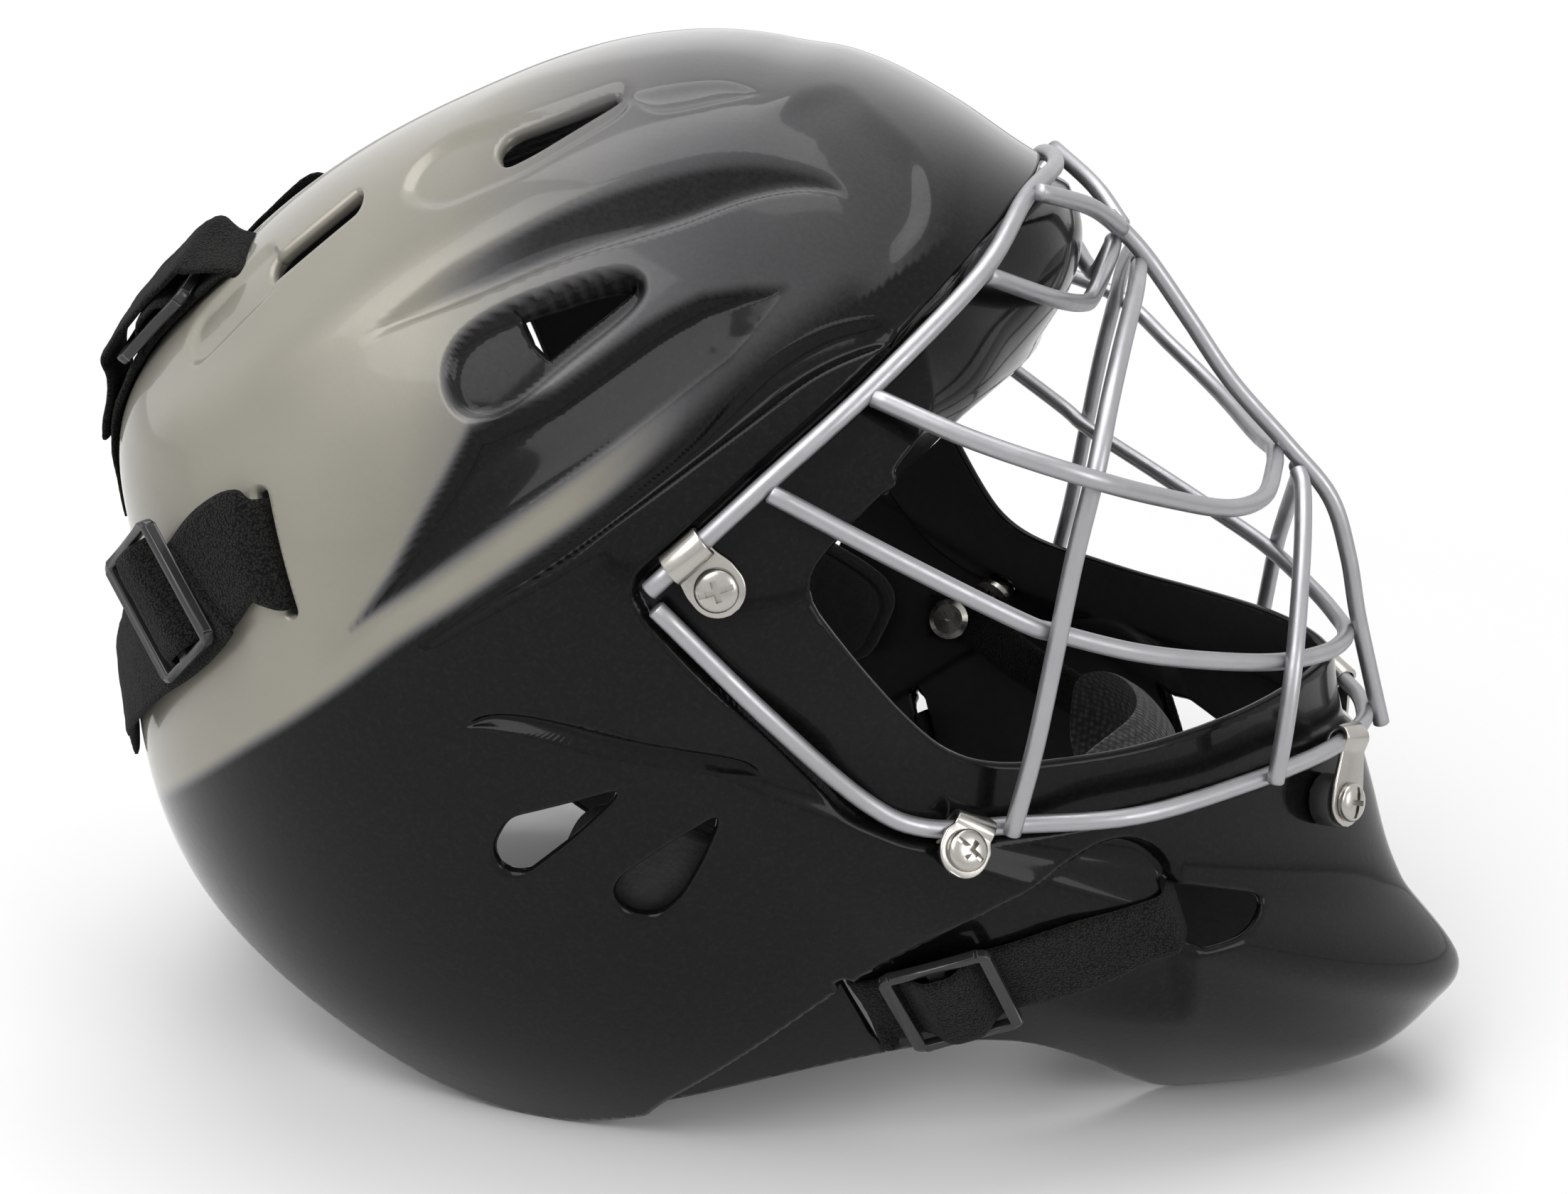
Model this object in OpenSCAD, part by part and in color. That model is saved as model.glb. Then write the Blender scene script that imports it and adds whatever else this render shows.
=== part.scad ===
// Catcher's mask of the one-piece shell kind: a moulded shell, a welded wire cage
// held on by six clips, foam liners, a hinged rear plate on elastic straps and a chin cup.
// Millimetres. +X is the way the wearer looks, +Y is the wearer's left, +Z is up.
// The mask stands on its two rear lobes and the rim of its chin.

/* [Shell] */
// Length of the shell from the rear edge to the flare of the chin
shell_l = 342; // [312:1:372]
// Width across the ears
shell_w = 232; // [215:1:250]
// Height of the shell from the rear lobes to the crown
shell_h = 256; // [235:1:277]
// Wall of the moulded shell
shell_t = 3.5; // [2.8:0.1:4.2]
// Width of the seat between the cage frame and the edge of the face opening
lip_w = 19; // [15:0.5:22]
// How far that seat lies below the skin
lip_d = 3; // [2.6:0.1:3.4]
// Depth of the sunk jaw panel that the lower straps lie in
jaw_d = 5; // [4.4:0.1:5.6]
// Depth of the flute above the ear
flute_d = 3; // [2:0.1:3.6]
// Depth of the blind end of the main vent
vent_d = 4.5; // [3:0.1:5]
// Half the width of the opening behind the head
rear_half = 62; // [56:0.5:66]

/* [Cage] */
// Diameter of the cage wire
wire_d = 4.2; // [3.6:0.1:4.8]
// How deep two wires sink into each other at a weld
weld_d = 0.6; // [0.3:0.1:1]
// Height of the frame wire's centre above the skin
wire_lift = 1.1; // [0.9:0.05:1.5]

/* [Clips and screws] */
// Width of a cage clip along the wire
clip_w = 10; // [8:0.5:12]
// Metal thickness of a clip
clip_t = 1.2; // [1:0.1:1.5]
// Diameter of a cage screw
screw_d = 4.8; // [4:0.1:5]
// Diameter of a screw head
head_d = 9.6; // [8.6:0.1:10.4]
// Height of a screw head
head_h = 2.8; // [2.2:0.1:3.4]
// Thickness of the rubber spacer behind a front clip
spacer_t = 6; // [4.5:0.25:7]

/* [Liner] */
// Thickness of the foam pads
pad_t = 13; // [9:0.5:15]
// Thickness of the rear plate
plate_t = 3; // [2.5:0.1:3.5]
// Half the width of the rear plate
plate_half = 54; // [48:0.5:54]
// Thickness of the chin cup
cup_t = 4; // [3:0.25:5]

/* [Straps] */
// Width of the elastic straps
strap_w = 25; // [20:0.5:27]
// Thickness of the elastic
strap_t = 1.6; // [1.2:0.1:2]
// Thickness of a strap slider
slider_t = 2.6; // [2:0.1:3]
// Width of the chin strap
chin_strap_w = 13; // [11:0.5:14]

/* [Hidden] */

// The skin was drawn at these sizes about the ear, and the driving sizes stretch it
drawn = [342, 232, 256];
k = [shell_l / drawn.x, shell_w / drawn.y, shell_h / drawn.z];
// Distance from the drawn zero to the middle of the mask
mid_x = 67.27;
function at(p) = [(p.x + mid_x) * k.x, p.y * k.y, p.z * k.z];

clear = 0.35;       // gap between pieces that only lie against each other
wire_r = wire_d / 2;
paint = [0.17, 0.18, 0.18];
steel = [0.72, 0.72, 0.74];
elastic = [0.13, 0.13, 0.14];

// ---------- the skin ----------
// Its sideways section is a superellipse that falls from the centre line to the ear.
ear = [-100, 125];
half = drawn.y / 2;
// Side angle and how far the centre line lies from the ear point
reach = [[-180, 140], [-150, 155], [-120, 167], [-90, 174], [-60, 178], [-45, 193], [-32, 224],
    [-26.5, 228.5], [-23, 226.5], [-19.7, 203], [-14, 186], [-5, 170], [15, 158], [35, 149], [55, 133],
    [75, 131], [95, 131], [120, 129], [145, 136], [165, 146]];
// Side angle and the two exponents of the superellipse there
fall = [[-160, 2.6, 2.2], [-90, 2.0, 1.9], [-20, 1.45, 1.4], [30, 2.1, 2.0], [90, 2.4, 2.3],
    [140, 2.8, 2.4]];

// Smooth closed curve through the knots of a table, read at any angle
function knot(t, i) = let (w = floor(i / len(t)), e = t[i - w * len(t)])
    [for (j = [0:len(e) - 1]) j == 0 ? e[0] + 360 * w : e[j]];
function slope(t, i, c) = (knot(t, i + 1)[c] - knot(t, i - 1)[c]) / (knot(t, i + 1)[0] - knot(t, i - 1)[0]);
function span(t, a, i = 0) = a < t[0][0] ? -1 : (i + 1 < len(t) && t[i + 1][0] <= a ? span(t, a,
    i + 1) : i);
function hermite(p, q, sp, sq, h, u) = (2 * pow(u, 3) - 3 * u * u + 1) * p + (pow(u,
    3) - 2 * u * u + u) * h * sp
    + (3 * u * u - 2 * pow(u, 3)) * q + (pow(u, 3) - u * u) * h * sq;
function ring(t, angle, c) = let (a = angle - 360 * floor((angle + 180) / 360), i = span(t, a),
    h = knot(t, i + 1)[0] - knot(t, i)[0])
    hermite(knot(t, i)[c], knot(t, i + 1)[c], slope(t, i, c), slope(t, i + 1, c), h, (a - knot(t,
        i)[0]) / h);

// Point of the skin at side angle a and sideways angle t, from -90 (right ear) to 90 (left ear)
function skin(a, t, off = 0) = let (
    r = (ring(reach, a, 1) + off) * pow(abs(cos(t)), 2 / ring(fall, a, 1)),
    y = (half + off) * sign(t) * pow(abs(sin(t)), 2 / ring(fall, a, 2)))
    at([ear.x + r * cos(a), y, ear.y + r * sin(a)]);
// Half width of the skin over a point of the side view
function half_at(p, off = 0) = let (d = p - ear, a = atan2(d.y, d.x), f = norm(d) / (ring(reach, a,
    1) + off))
    f >= 1 ? 0 : (half + off) * pow(1 - pow(f, ring(fall, a, 1)), 1 / ring(fall, a, 2));
// Point of the left side over a point of the side view
function side(p, off = 0) = at([p.x, half_at(p, off), p.y]);
// Point of the skin at side angle a and at y from the centre line
function over(a, y, off = 0) = let (r = (ring(reach, a, 1) + off)
    * pow(1 - pow(abs(y) / (half + off), ring(fall, a, 2)), 1 / ring(fall, a, 1)))
    at([ear.x + r * cos(a), y, ear.y + r * sin(a)]);
function unit(v) = v / norm(v);
function side_normal(p) = unit(cross(side(p + [0, 1]) - side(p - [0, 1]), side(p + [1, 0]) - side(p - [1,
    0])));
function over_normal(a, y) = unit(cross(over(a, y + 1) - over(a, y - 1), over(a + 1, y) - over(a - 1, y)));

// Side angles of the rows of the skin, closer together round the chin
rows = concat([for (a = [-180:10:-50]) a], [-44, -38, -32, -27.5, -24, -21.5, -19, -14, -8],
    [for (a = [0:9:175]) a]);
lanes = 20;
// The closed solid inside the skin, grown by off
module body(off) {
    n = len(rows);
    m = lanes - 1;
    grid = [for (a = rows) for (j = [1:m]) skin(a, -90 + 180 * j / lanes, off)];
    points = concat([skin(0, -90, off)], grid, [skin(0, 90, off)]);
    last = len(points) - 1;
    faces = concat(
        [for (i = [0:n - 1]) [0, 1 + i * m, 1 + ((i + 1) % n) * m]],
        [for (i = [0:n - 1]) [last, m + ((i + 1) % n) * m, m + i * m]],
        [for (i = [0:n - 1]) for (j = [1:m - 1]) let (p = j + i * m, q = j + ((i + 1) % n) * m) [p,
        p + 1, q + 1, q]]);
    polyhedron(points, [for (f = faces) [for (i = [len(f) - 1:-1:0]) f[i]]], convexity = 10);
}

// ---------- shared tools ----------
module left_or_right(way) { if (way > 0) children(); else mirror([0, 1, 0]) children(); }
// A side-view outline driven right through the mask, grown by delta
module through(outline, delta = 0) {
    rotate([90, 0, 0]) linear_extrude(2 * shell_w, center = true) offset(delta = delta)
        polygon([for (p = outline) [(p.x + mid_x) * k.x, p.y * k.z]]);
}
// A slot with round ends through both sides, from radius ra at a to rb at b
module slot(a, b, ra, rb) {
    hull() for (e = [[a, ra], [b, rb]]) {
        translate(at([e[0].x, 0, e[0].y])) rotate([90, 0, 0]) cylinder(h = 2 * shell_w, r = e[1],
        center = true, $fn = 14);
    }
}
// Stand children on the skin: their x runs along the first vector, their z along the normal
module stand(origin, along, normal) {
    x = unit(along - (along * normal) * normal);
    y = cross(normal, x);
    multmatrix([[x.x, y.x, normal.x, origin.x], [x.y, y.y, normal.y, origin.y], [x.z, y.z, normal.z,
        origin.z], [0, 0, 0, 1]])
        children();
}
// Curve through the control points
function curve_at(a, b, c, d, t) = 0.5 * (2 * b + (c - a) * t + (2 * a - 5 * b + 4 * c - d) * t * t
    + (3 * b - a - 3 * c + d) * pow(t, 3));
function curve(p, n) = let (e = concat([2 * p[0] - p[1]], p, [2 * p[len(p) - 1] - p[len(p) - 2]]))
    concat([for (i = [1:len(p) - 1]) for (j = [0:n - 1]) curve_at(e[i - 1], e[i], e[i + 1], e[i + 2],
        j / n)], [p[len(p) - 1]]);
function mirrored(p) = concat(p, [for (i = [len(p) - 2:-1:0]) [p[i].x, -p[i].y, p[i].z]]);
function tangents(p) = [for (i = [0:len(p) - 1]) unit(p[min(i + 1, len(p) - 1)] - p[max(i - 1, 0)])];
function square_to(v, t) = unit(v - (v * t) * t);
function carried(t, v, i = 0) = i == len(t) ? [] : let (n = square_to(v, t[i])) concat([n], carried(t, n,
    i + 1));
// The two triangles of a four-sided face
function halves(f) = [[f[0], f[1], f[2]], [f[0], f[2], f[3]]];
// Solid whose sections are rings of the same number of points
module loft(rings) {
    n = len(rings[0]);
    m = len(rings);
    polyhedron([for (r = rings) each r], concat([[for (i = [0:n - 1]) i]],
        [[for (i = [n - 1:-1:0]) (m - 1) * n + i]],
        [for (j = [0:m - 2]) for (i = [0:n - 1])
            each halves([j * n + i, (j + 1) * n + i, (j + 1) * n + (i + 1) % n, j * n + (i + 1) % n])]),
        convexity = 8);
}
// Wire bent along a path
module wire(path, start = [0, 0, 1], sides = 8) {
    t = tangents(path);
    u = carried(t, start);
    loft([for (i = [0:len(path) - 1]) let (v = cross(t[i], u[i]))
        [for (s = [0:sides - 1]) path[i] + wire_r * (cos(s * 360 / sides) * u[i] + sin(s * 360 / sides) * v)]]);
}
// Flat band along a path, lying square to the normals, with one width or a width for each point
module band(path, normals, width, thick) {
    function wide(i) = is_list(width) ? width[i] : width;
    t = tangents(path);
    loft([for (i = [0:len(path) - 1]) let (n = square_to(normals[i], t[i]), b = cross(t[i],
        n) * wide(i) / 2, h = n * thick / 2)
        [path[i] + b - h, path[i] - b - h, path[i] - b + h, path[i] + b + h]]);
}
// Slab between two grids of points of the same size
module slab(top, bottom) {
    n = len(top);
    m = len(top[0]);
    o = n * m;
    function id(i, j) = i * m + j;
    tiles = [for (i = [0:n - 2]) for (j = [0:m - 2])
        each halves([id(i, j), id(i, j + 1), id(i + 1, j + 1), id(i + 1, j)])];
    rim = concat([for (j = [0:m - 1]) id(0, j)], [for (i = [1:n - 1]) id(i, m - 1)],
        [for (j = [m - 2:-1:0]) id(n - 1, j)], [for (i = [n - 2:-1:1]) id(i, 0)]);
    polyhedron(concat([for (r = top) each r], [for (r = bottom) each r]), concat(tiles,
        [for (f = tiles) [f[2] + o, f[1] + o, f[0] + o]],
        [for (i = [0:len(rim) - 1]) let (j = (i + 1) % len(rim)) each halves([rim[i], rim[i] + o,
        rim[j] + o, rim[j]])]), convexity = 8);
}
// Grid parameters of a patch with its corners drawn in
function pulled(n, m, c) = [for (i = [0:n]) [for (j = [0:m]) let (u = 2 * i / n - 1, v = 2 * j / m - 1)
    [u * (1 - c * v * v), v * (1 - c * u * u)]]];

// ---------- the shell ----------
// Side-view outlines on the drawn skin, from the rear forwards
edge_line = [[-260, 78], [-230, 71], [-222, 56], [-210, 45], [-187, 31], [-160, 15], [-143, 5], [-127, 0],
    [-108, 0], [-86, 9], [-64, 18], [-44, 24], [-24, 28.5], [-12, 29.5], [2, 27], [17, 19], [28, 8], [37,
        0],
    [90, 0], [140, 30], [140, 300], [-260, 300]];
face_opening = [[-59.5, 157.5], [-46.7, 174], [-34, 186], [-27, 192], [-16, 194.5], [140, 194.5], [140,
    121],
    [61, 117], [40, 113], [17, 110], [-12, 110], [-24, 114], [-33, 123], [-46, 140]];
drawn_lip_w = 19;
frame_line = [[-94, 156], [-70, 181.5], [-50.5, 200.5], [-31.7, 221], [-20.3, 234.2], [10, 268], [140,
    268], [140, 100],
    [62, 98], [18, 95], [-8, 94.5], [-30.5, 95.5], [-45, 102.5], [-66, 126], [-90, 149]];
// Brow panel between the frame and the opening: height, and how far forward it lies at each y of brow_y
brow_y = [0, 30, 47, 65, 82];
brow = [[234, [-18.2, -23, -33, -50, -70]], [217, [-9.5, -15, -25, -38, -55]], [205, [-10.5, -14.5, -21,
    -29.5, -42]],
    [194, [-15.8, -18, -21.5, -26.5, -34]], [178, [-24, -25.5, -28, -32, -38]]];
brow_zone = [[-52, 199], [-32.2, 220.5], [-20.3, 234.2], [10, 268], [140, 268], [140, 176], [-36, 176]];
jaw_panel = [[15, 93], [-5, 83], [-26, 69], [-45, 53], [-64, 34], [-88, 11], [-100, -12], [44, -12], [37,
    52],
    [34, 72], [28, 86]];
ear_flute = [[-155, 138], [-132, 183], [-106, 193], [-72, 206], [-68, 196], [-82, 176], [-109, 154],
    [-140, 137]];
groove = [[-127, 121], [-64, 114], 2.6, 1.6];
groove_d = 2;
vent_end = [-131, 194];
vent_mouth = [[-121, 200], [-96, 218], 6.5, 1.6];
crown_vent = [[-134, 233], [-112, 248.5], 4, 1.6];
rear_vent = [[-188, 204], [-171, 220], 2.6, 2.6];
jaw_vents = [[[-119, 86], [-94, 105.5], 4.4, 1.2], [[-92, 79], [-72, 102], 4.4, 1.2]];
side_slot = [[-178.5, 162], [-170, 139]];
chin_slot = [[24.8, 80.5], [33, 60], [50, 63], [54, 67], [51, 71]];
lower_slot = [[-43.5, 54.5], [-33.5, 29.5]];
slot_r = 2.6;
top_slot_a = 143;
top_slot_y = 45;
shell_holes = [[-75, 156], [-21, 94], [64, 88]];
hole_r = 4.3;

// Convex body whose front is the brow panel
module brow_body(off) {
    hull() for (level = brow) {
        front = [for (i = [0:len(brow_y) - 1]) at([level[1][i] + off, brow_y[i], level[0]])];
        translate([0, 0, front[0].z]) linear_extrude(0.01) polygon(concat([for (p = front) [p.x, p.y]],
            [[-shell_l / 2, shell_w], [-shell_l / 2, -shell_w]],
            [for (i = [len(front) - 1:-1:1]) [front[i].x, -front[i].y]]));
    }
}
// The skin grown by off, with its sunk panels; grow widens them on the inside so the wall stays whole
module relieved(off, grow) {
    difference() {
        body(off);
        difference() { through(jaw_panel, grow); body(off - jaw_d); }
        difference() { through(frame_line, grow); body(off - lip_d); }
        difference() { through(brow_zone, grow); brow_body(off); }
        difference() { through(ear_flute, grow); body(off - flute_d); }
        difference() { slot(vent_end, vent_mouth[0], 8.5 + grow, 8.5 + grow); body(off - vent_d); }
    }
}
// Opening behind the head, seen from the rear
module rear_opening() {
    translate(at([-300, 0, 0])) rotate([90, 0, 90]) linear_extrude(150 * k.x) hull() {
        translate([0, 125 * k.z]) circle(rear_half, $fn = 40);
        translate([-rear_half + 2, -20]) square([2 * rear_half - 4, 20]);
    }
}
module shell() {
    color(paint) difference() {
        intersection() { relieved(0, 0); through(edge_line); }
        difference() { slot(groove[0], groove[1], groove[2], groove[3]); body(-groove_d); }
        relieved(-shell_t, shell_t);
        through(face_opening, drawn_lip_w - lip_w);
        rear_opening();
        slot(vent_mouth[0], vent_mouth[1], vent_mouth[2], vent_mouth[3]);
        slot(crown_vent[0], crown_vent[1], crown_vent[2], crown_vent[3]);
        slot(rear_vent[0], rear_vent[1], rear_vent[2], rear_vent[3]);
        for (v = jaw_vents) slot(v[0], v[1], v[2], v[3]);
        slot(side_slot[0], side_slot[1], slot_r, slot_r);
        through(chin_slot);
        slot(lower_slot[0], lower_slot[1], slot_r, slot_r);
        for (way = [-1, 1]) left_or_right(way) {
            stand(over(top_slot_a, top_slot_y), [0, 1, 0], over_normal(top_slot_a, top_slot_y))
                cube([strap_w + 3, 2 * slot_r, 30], center = true);
            clip_pocket(clip_seats[0]);
            clip_pocket(clip_seats[1]);
            for (h = shell_holes) stand(side(h), [1, 0, 0], side_normal(h)) cylinder(h = 30, r = hole_r,
            center = true, $fn = 14);
        }
    }
}

// ---------- the cage ----------
// Left half of each wire, from its end on the frame to the centre line
upper_frame_path = mirrored(concat([for (p = [[-89, 155], [-67, 178.5], [-48, 197.5], [-29,
    218]]) side(p, wire_lift)],
    [over(53.5, 34, wire_lift), over(52.5, 0, wire_lift)]));
lower_frame_path = mirrored(concat([for (p = [[-87.2, 151.8], [-63, 129], [-42, 107.5], [-28, 100], [-8,
    98.5]]) side(p, wire_lift)],
    [at([18, 76, 100]), at([42, 55, 101.5]), at([62, 34, 103.5]), at([72.2, 13, 103]), at([74.3, 0,
        102.5])]));
upper_frame = curve(upper_frame_path, 3);
lower_frame = curve(lower_frame_path, 2);
brow_bar = curve(mirrored([at([-27.9, 62.7, 217.4]), at([-14.7, 42, 209.5]), at([-7.5, 22, 204.5]),
    at([-5, 14, 205]),
    at([-2.1, 5, 213.5]), at([-1.9, 0, 215.5])]), 2);
upper_bar = curve(mirrored([at([-47.5, 93.1, 195.9]), at([-25, 96, 189.5]), at([0, 93, 183]), at([17, 73,
    174.5]), at([31, 52, 167.5]),
    at([40, 28, 164]), at([42.9, 9, 166.1]), at([43.2, 0, 167.3])]), 2);
lower_bar = curve(mirrored([at([-66, 107, 177]), at([-38, 101, 163]), at([-12, 92, 149.5]), at([-4, 86,
    145.5]), at([14, 75, 139]),
    at([32, 60, 133.5]), at([48, 43.5, 129]), at([60, 23, 125]), at([65.6, 8, 123.1]), at([66.7, 0,
        123.2])]), 2);
centre_bar = curve([for (p = [[-4, 222], [6, 213], [18, 199], [30.5, 184], [46, 169.5], [58, 157.5],
    [64.5, 143], [69, 128], [74.6, 112], [79.3, 99]])
    at([p.x, 0, p.y])], 2);
outer_upright = curve([for (p = [[5, 1.4, 210.5], [4.5, 30, 209], [3, 55, 203.5], [1.5, 75, 195], [0.3,
    87.4, 183], [-2, 89.7, 165],
    [-3.7, 90.4, 145.5], [-6, 90.5, 120], [-9.1, 90.4, 98.3]]) at(p)], 2);
inner_upright = curve([for (p = [[49.2, 2, 163.9], [50.5, 7, 161], [51, 20, 153], [51, 35, 141], [50.8,
    46.3, 129], [50.5, 51, 115],
    [50, 52.1, 101.8]]) at(p)], 2);
fork_wire = curve([for (p = [[-19.7, 34, 231.5], [-8, 15, 226], [0, 2.6, 219]]) at(p)], 3);

module cage_upper_frame() { color(steel) wire(upper_frame, [1, 0, 0]); }
module cage_lower_frame() { color(steel) wire(lower_frame, [1, 0, 0]); }
module cage_brow_bar() { color(steel) wire(brow_bar, [1, 0, 0]); }
module cage_upper_bar() { color(steel) wire(upper_bar); }
module cage_lower_bar() { color(steel) wire(lower_bar); }
module cage_centre_bar() { color(steel) wire(centre_bar, [0, 1, 0]); }
module cage_fork() { color(steel) for (way = [-1, 1]) left_or_right(way) wire(fork_wire, [0, 0, 1]); }
module outer_upright_of(way) { color(steel) left_or_right(way) wire(outer_upright, [1, 0, 0]); }
module inner_upright_of(way) { color(steel) left_or_right(way) wire(inner_upright, [1, 0, 0]); }

// ---------- clips, screws, nuts ----------
ring_r = wire_r + 0.4;       // bore of a clip round its wire
// Screw place in side view, the wire held, then heights over the skin: top of the nut's barrel,
// seat of its flange and underside of the clip's tab
clip_seats = [[shell_holes[0], upper_frame, -lip_d, -lip_d - shell_t, clear - lip_d],
    [shell_holes[1], lower_frame, -lip_d, -lip_d - shell_t, wire_lift + ring_r],
    [shell_holes[2], lower_frame, 0, -shell_t, spacer_t + 2 * clear]];
function nearest(path, p, i = 0, best = 0) = i == len(path) ? best
    : nearest(path, p, i + 1, norm(path[i] - p) < norm(path[best] - p) ? i : best);
function grip_of(seat) = nearest(seat[1], side(seat[0]) + side_normal(seat[0]) * seat[4]);
function lean_of(seat) = let (w = seat[1], i = grip_of(seat)) unit(w[i + 1] - w[i - 1]);
// Room moulded into the shell for the bent end of a clip
module clip_pocket(seat) {
    stand(seat[1][grip_of(seat)], side_normal(seat[0]), lean_of(seat))
        cylinder(h = clip_w + 2, r = ring_r + clip_t + clear, center = true, $fn = 16);
}
module on_screw(seat) { stand(side(seat[0]), [1, 0, 0], side_normal(seat[0])) children(); }
module clip(seat) {
    origin = side(seat[0]);
    up = side_normal(seat[0]);
    grip = seat[1][grip_of(seat)];
    lean = lean_of(seat);
    reach_to_wire = grip - origin;
    flat = norm(reach_to_wire - (reach_to_wire * up) * up);
    color(steel) difference() {
        union() {
            stand(origin, reach_to_wire, up) translate([0, 0, seat[4]]) linear_extrude(clip_t) union() {
                circle(clip_w * 0.62, $fn = 20);
                translate([0, -clip_w / 2]) square([flat, clip_w]);
            }
            stand(grip, up, lean) cylinder(h = clip_w, r = ring_r + clip_t, center = true, $fn = 20);
        }
        stand(grip, up, lean) cylinder(h = clip_w + 9, r = ring_r, center = true, $fn = 20);
        stand(origin, reach_to_wire, up) translate([flat - 15, -15, seat[4] - 30]) cube([15, 30, 30]);
        on_screw(seat) cylinder(h = 30, r = screw_d / 2 + 0.3, center = true, $fn = 20);
    }
}
module clip_of(i, way) { left_or_right(way) clip(clip_seats[i]); }
module screw(seat) {
    base = seat[4] + clip_t + 0.05;
    tip = seat[3] - 1.5;
    on_screw(seat) difference() {
        union() {
            translate([0, 0, base]) rotate_extrude($fn = 20) polygon([[0, 0], [head_d / 2, 0],
            [head_d / 2, head_h * 0.45],
                [head_d / 2 - 0.8, head_h * 0.85], [head_d / 2 - 2.4, head_h], [0, head_h]]);
            translate([0, 0, tip]) cylinder(h = base - tip + 0.5, r = screw_d / 2, $fn = 16);
        }
        translate([0, 0, base + head_h]) cube([head_d * 0.72, 0.9, 2.4], center = true);
        translate([0, 0, base + head_h]) cube([0.9, head_d * 0.42, 2.4], center = true);
    }
}
module cage_screws() { color(steel) for (s = clip_seats) for (way = [-1, 1]) left_or_right(way) screw(s); }
// Flanged barrel nut whose barrel stands in the hole of the shell
flange_r = 6;
flange_t = 1.5;
module nut(seat) {
    top = seat[3] - 2 * clear;
    difference() {
        union() {
            translate([0, 0, top - flange_t]) cylinder(h = flange_t, r = flange_r, $fn = 20);
            translate([0, 0, top - 0.2]) cylinder(h = seat[2] - top, r = hole_r - 0.5, $fn = 20);
        }
        translate([0, 0, top - 3]) cylinder(h = 20, r = screw_d / 2 + 0.1, $fn = 20);
    }
}
module cage_nuts() { color(steel) for (s = clip_seats) for (way = [-1,
    1]) left_or_right(way) on_screw(s) nut(s); }
module front_spacers() {
    color(elastic) for (way = [-1, 1]) left_or_right(way) on_screw(clip_seats[2]) difference() {
        translate([0, 0, 2 * clear]) cylinder(h = spacer_t - clear - 0.05, r = 6.5, $fn = 20);
        cylinder(h = 30, r = screw_d / 2 + 0.3, center = true, $fn = 20);
    }
}

// ---------- foam liner ----------
sag = 0.6;          // how far the flats of the faceted skin lie inside its curve
liner = -shell_t - clear - sag;
// Patch that follows the skin over the centre line, from side angle a0 to a1
module centre_patch(a0, a1, y, top, bottom, n = 5, m = 5) {
    g = pulled(n, m, 0.14);
    function place(q, off) = over((a0 + a1) / 2 + q[0] * (a1 - a0) / 2, -q[1] * y, off);
    slab([for (r = g) [for (q = r) place(q, top)]], [for (r = g) [for (q = r) place(q, bottom)]]);
}
// Patch that follows the left side of the skin over a side-view rectangle about c
module side_patch(c, size, tilt, top, bottom, n = 4, m = 4) {
    g = pulled(n, m, 0.14);
    function place(q, off) = let (u = q[0] * size.x / 2, v = q[1] * size.y / 2)
        side([c.x + u * cos(tilt) - v * sin(tilt), c.y + u * sin(tilt) + v * cos(tilt)], off);
    slab([for (r = g) [for (q = r) place([q[0], -q[1]], top)]], [for (r = g) [for (q = r) place([q[0],
        -q[1]], bottom)]]);
}
// The forehead pad lies behind the brow panel and looks out under its edge
function brow_front(y, z) = let (t = [for (b = brow) [b[0], lookup(abs(y),
    [for (i = [0:len(brow_y) - 1]) [brow_y[i], b[1][i]]])]])
    lookup(z, t);
module forehead_pad() {
    color(elastic) slab(
        [for (i = [0:6]) [for (j = [0:4]) let (y = 46 * i / 3 - 46, z = 186 + 7 * j) at([brow_front(y,
        z) + liner + 0.3, y, z])]],
        [for (i = [0:6]) [for (j = [0:4]) let (y = 46 * i / 3 - 46, z = 186 + 7 * j) at([brow_front(y,
        200) + liner - pad_t - 4, y, z])]]);
}
module crown_pad() { color(elastic) centre_patch(98, 132, 40, liner, liner - pad_t); }
module temple_pad(way) { color(elastic) left_or_right(way) side_patch([-104, 172], [46, 34], 40,
    liner - flute_d, liner - flute_d - pad_t); }
module jaw_pad(way) { color(elastic) left_or_right(way) side_patch([-82, 82], [52, 30], -20, liner,
    liner - pad_t); }
module neck_pad(way) { color(elastic) left_or_right(way) side_patch([-172, 92], [50, 66], 0, liner,
    liner - pad_t); }

// ---------- rear plate ----------
plate_a = [161, 216];
plate_top = -0.1;
module rear_plate() { color(paint) centre_patch(plate_a[0], plate_a[1], plate_half, plate_top,
    plate_top - plate_t, 7, 7); }
module rear_plate_pad() {
    color(elastic) centre_patch(plate_a[0] + 3, plate_a[1] - 3, plate_half - 5,
        plate_top - plate_t - 4 * clear - sag,
        plate_top - plate_t - pad_t, 7, 7);
}

// ---------- straps ----------
strap_off = clear + strap_t / 2;   // middle of the elastic over the skin
// Route as side angle and y: out of the slot, over the rear edge, onto the rear plate
function route(ends, n) = [for (i = [0:n]) ends[0] + (ends[1] - ends[0]) * i / n];
top_route = route([[top_slot_a, top_slot_y], [176, 34]], 10);
side_route = curve([[160.5, 106.5], [173.1, 99.1], [184.3, 80.8], [198, 45]], 4);
module route_band(r, w, lift = 0) {
    band([for (q = r) over(q[0], q[1], strap_off + lift)], [for (q = r) over_normal(q[0], q[1])], w,
        strap_t);
}
module top_strap(way) { color(elastic) left_or_right(way) route_band(top_route, strap_w); }
module side_strap(way) { color(elastic) left_or_right(way) route_band(side_route, strap_w, sag); }
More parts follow.
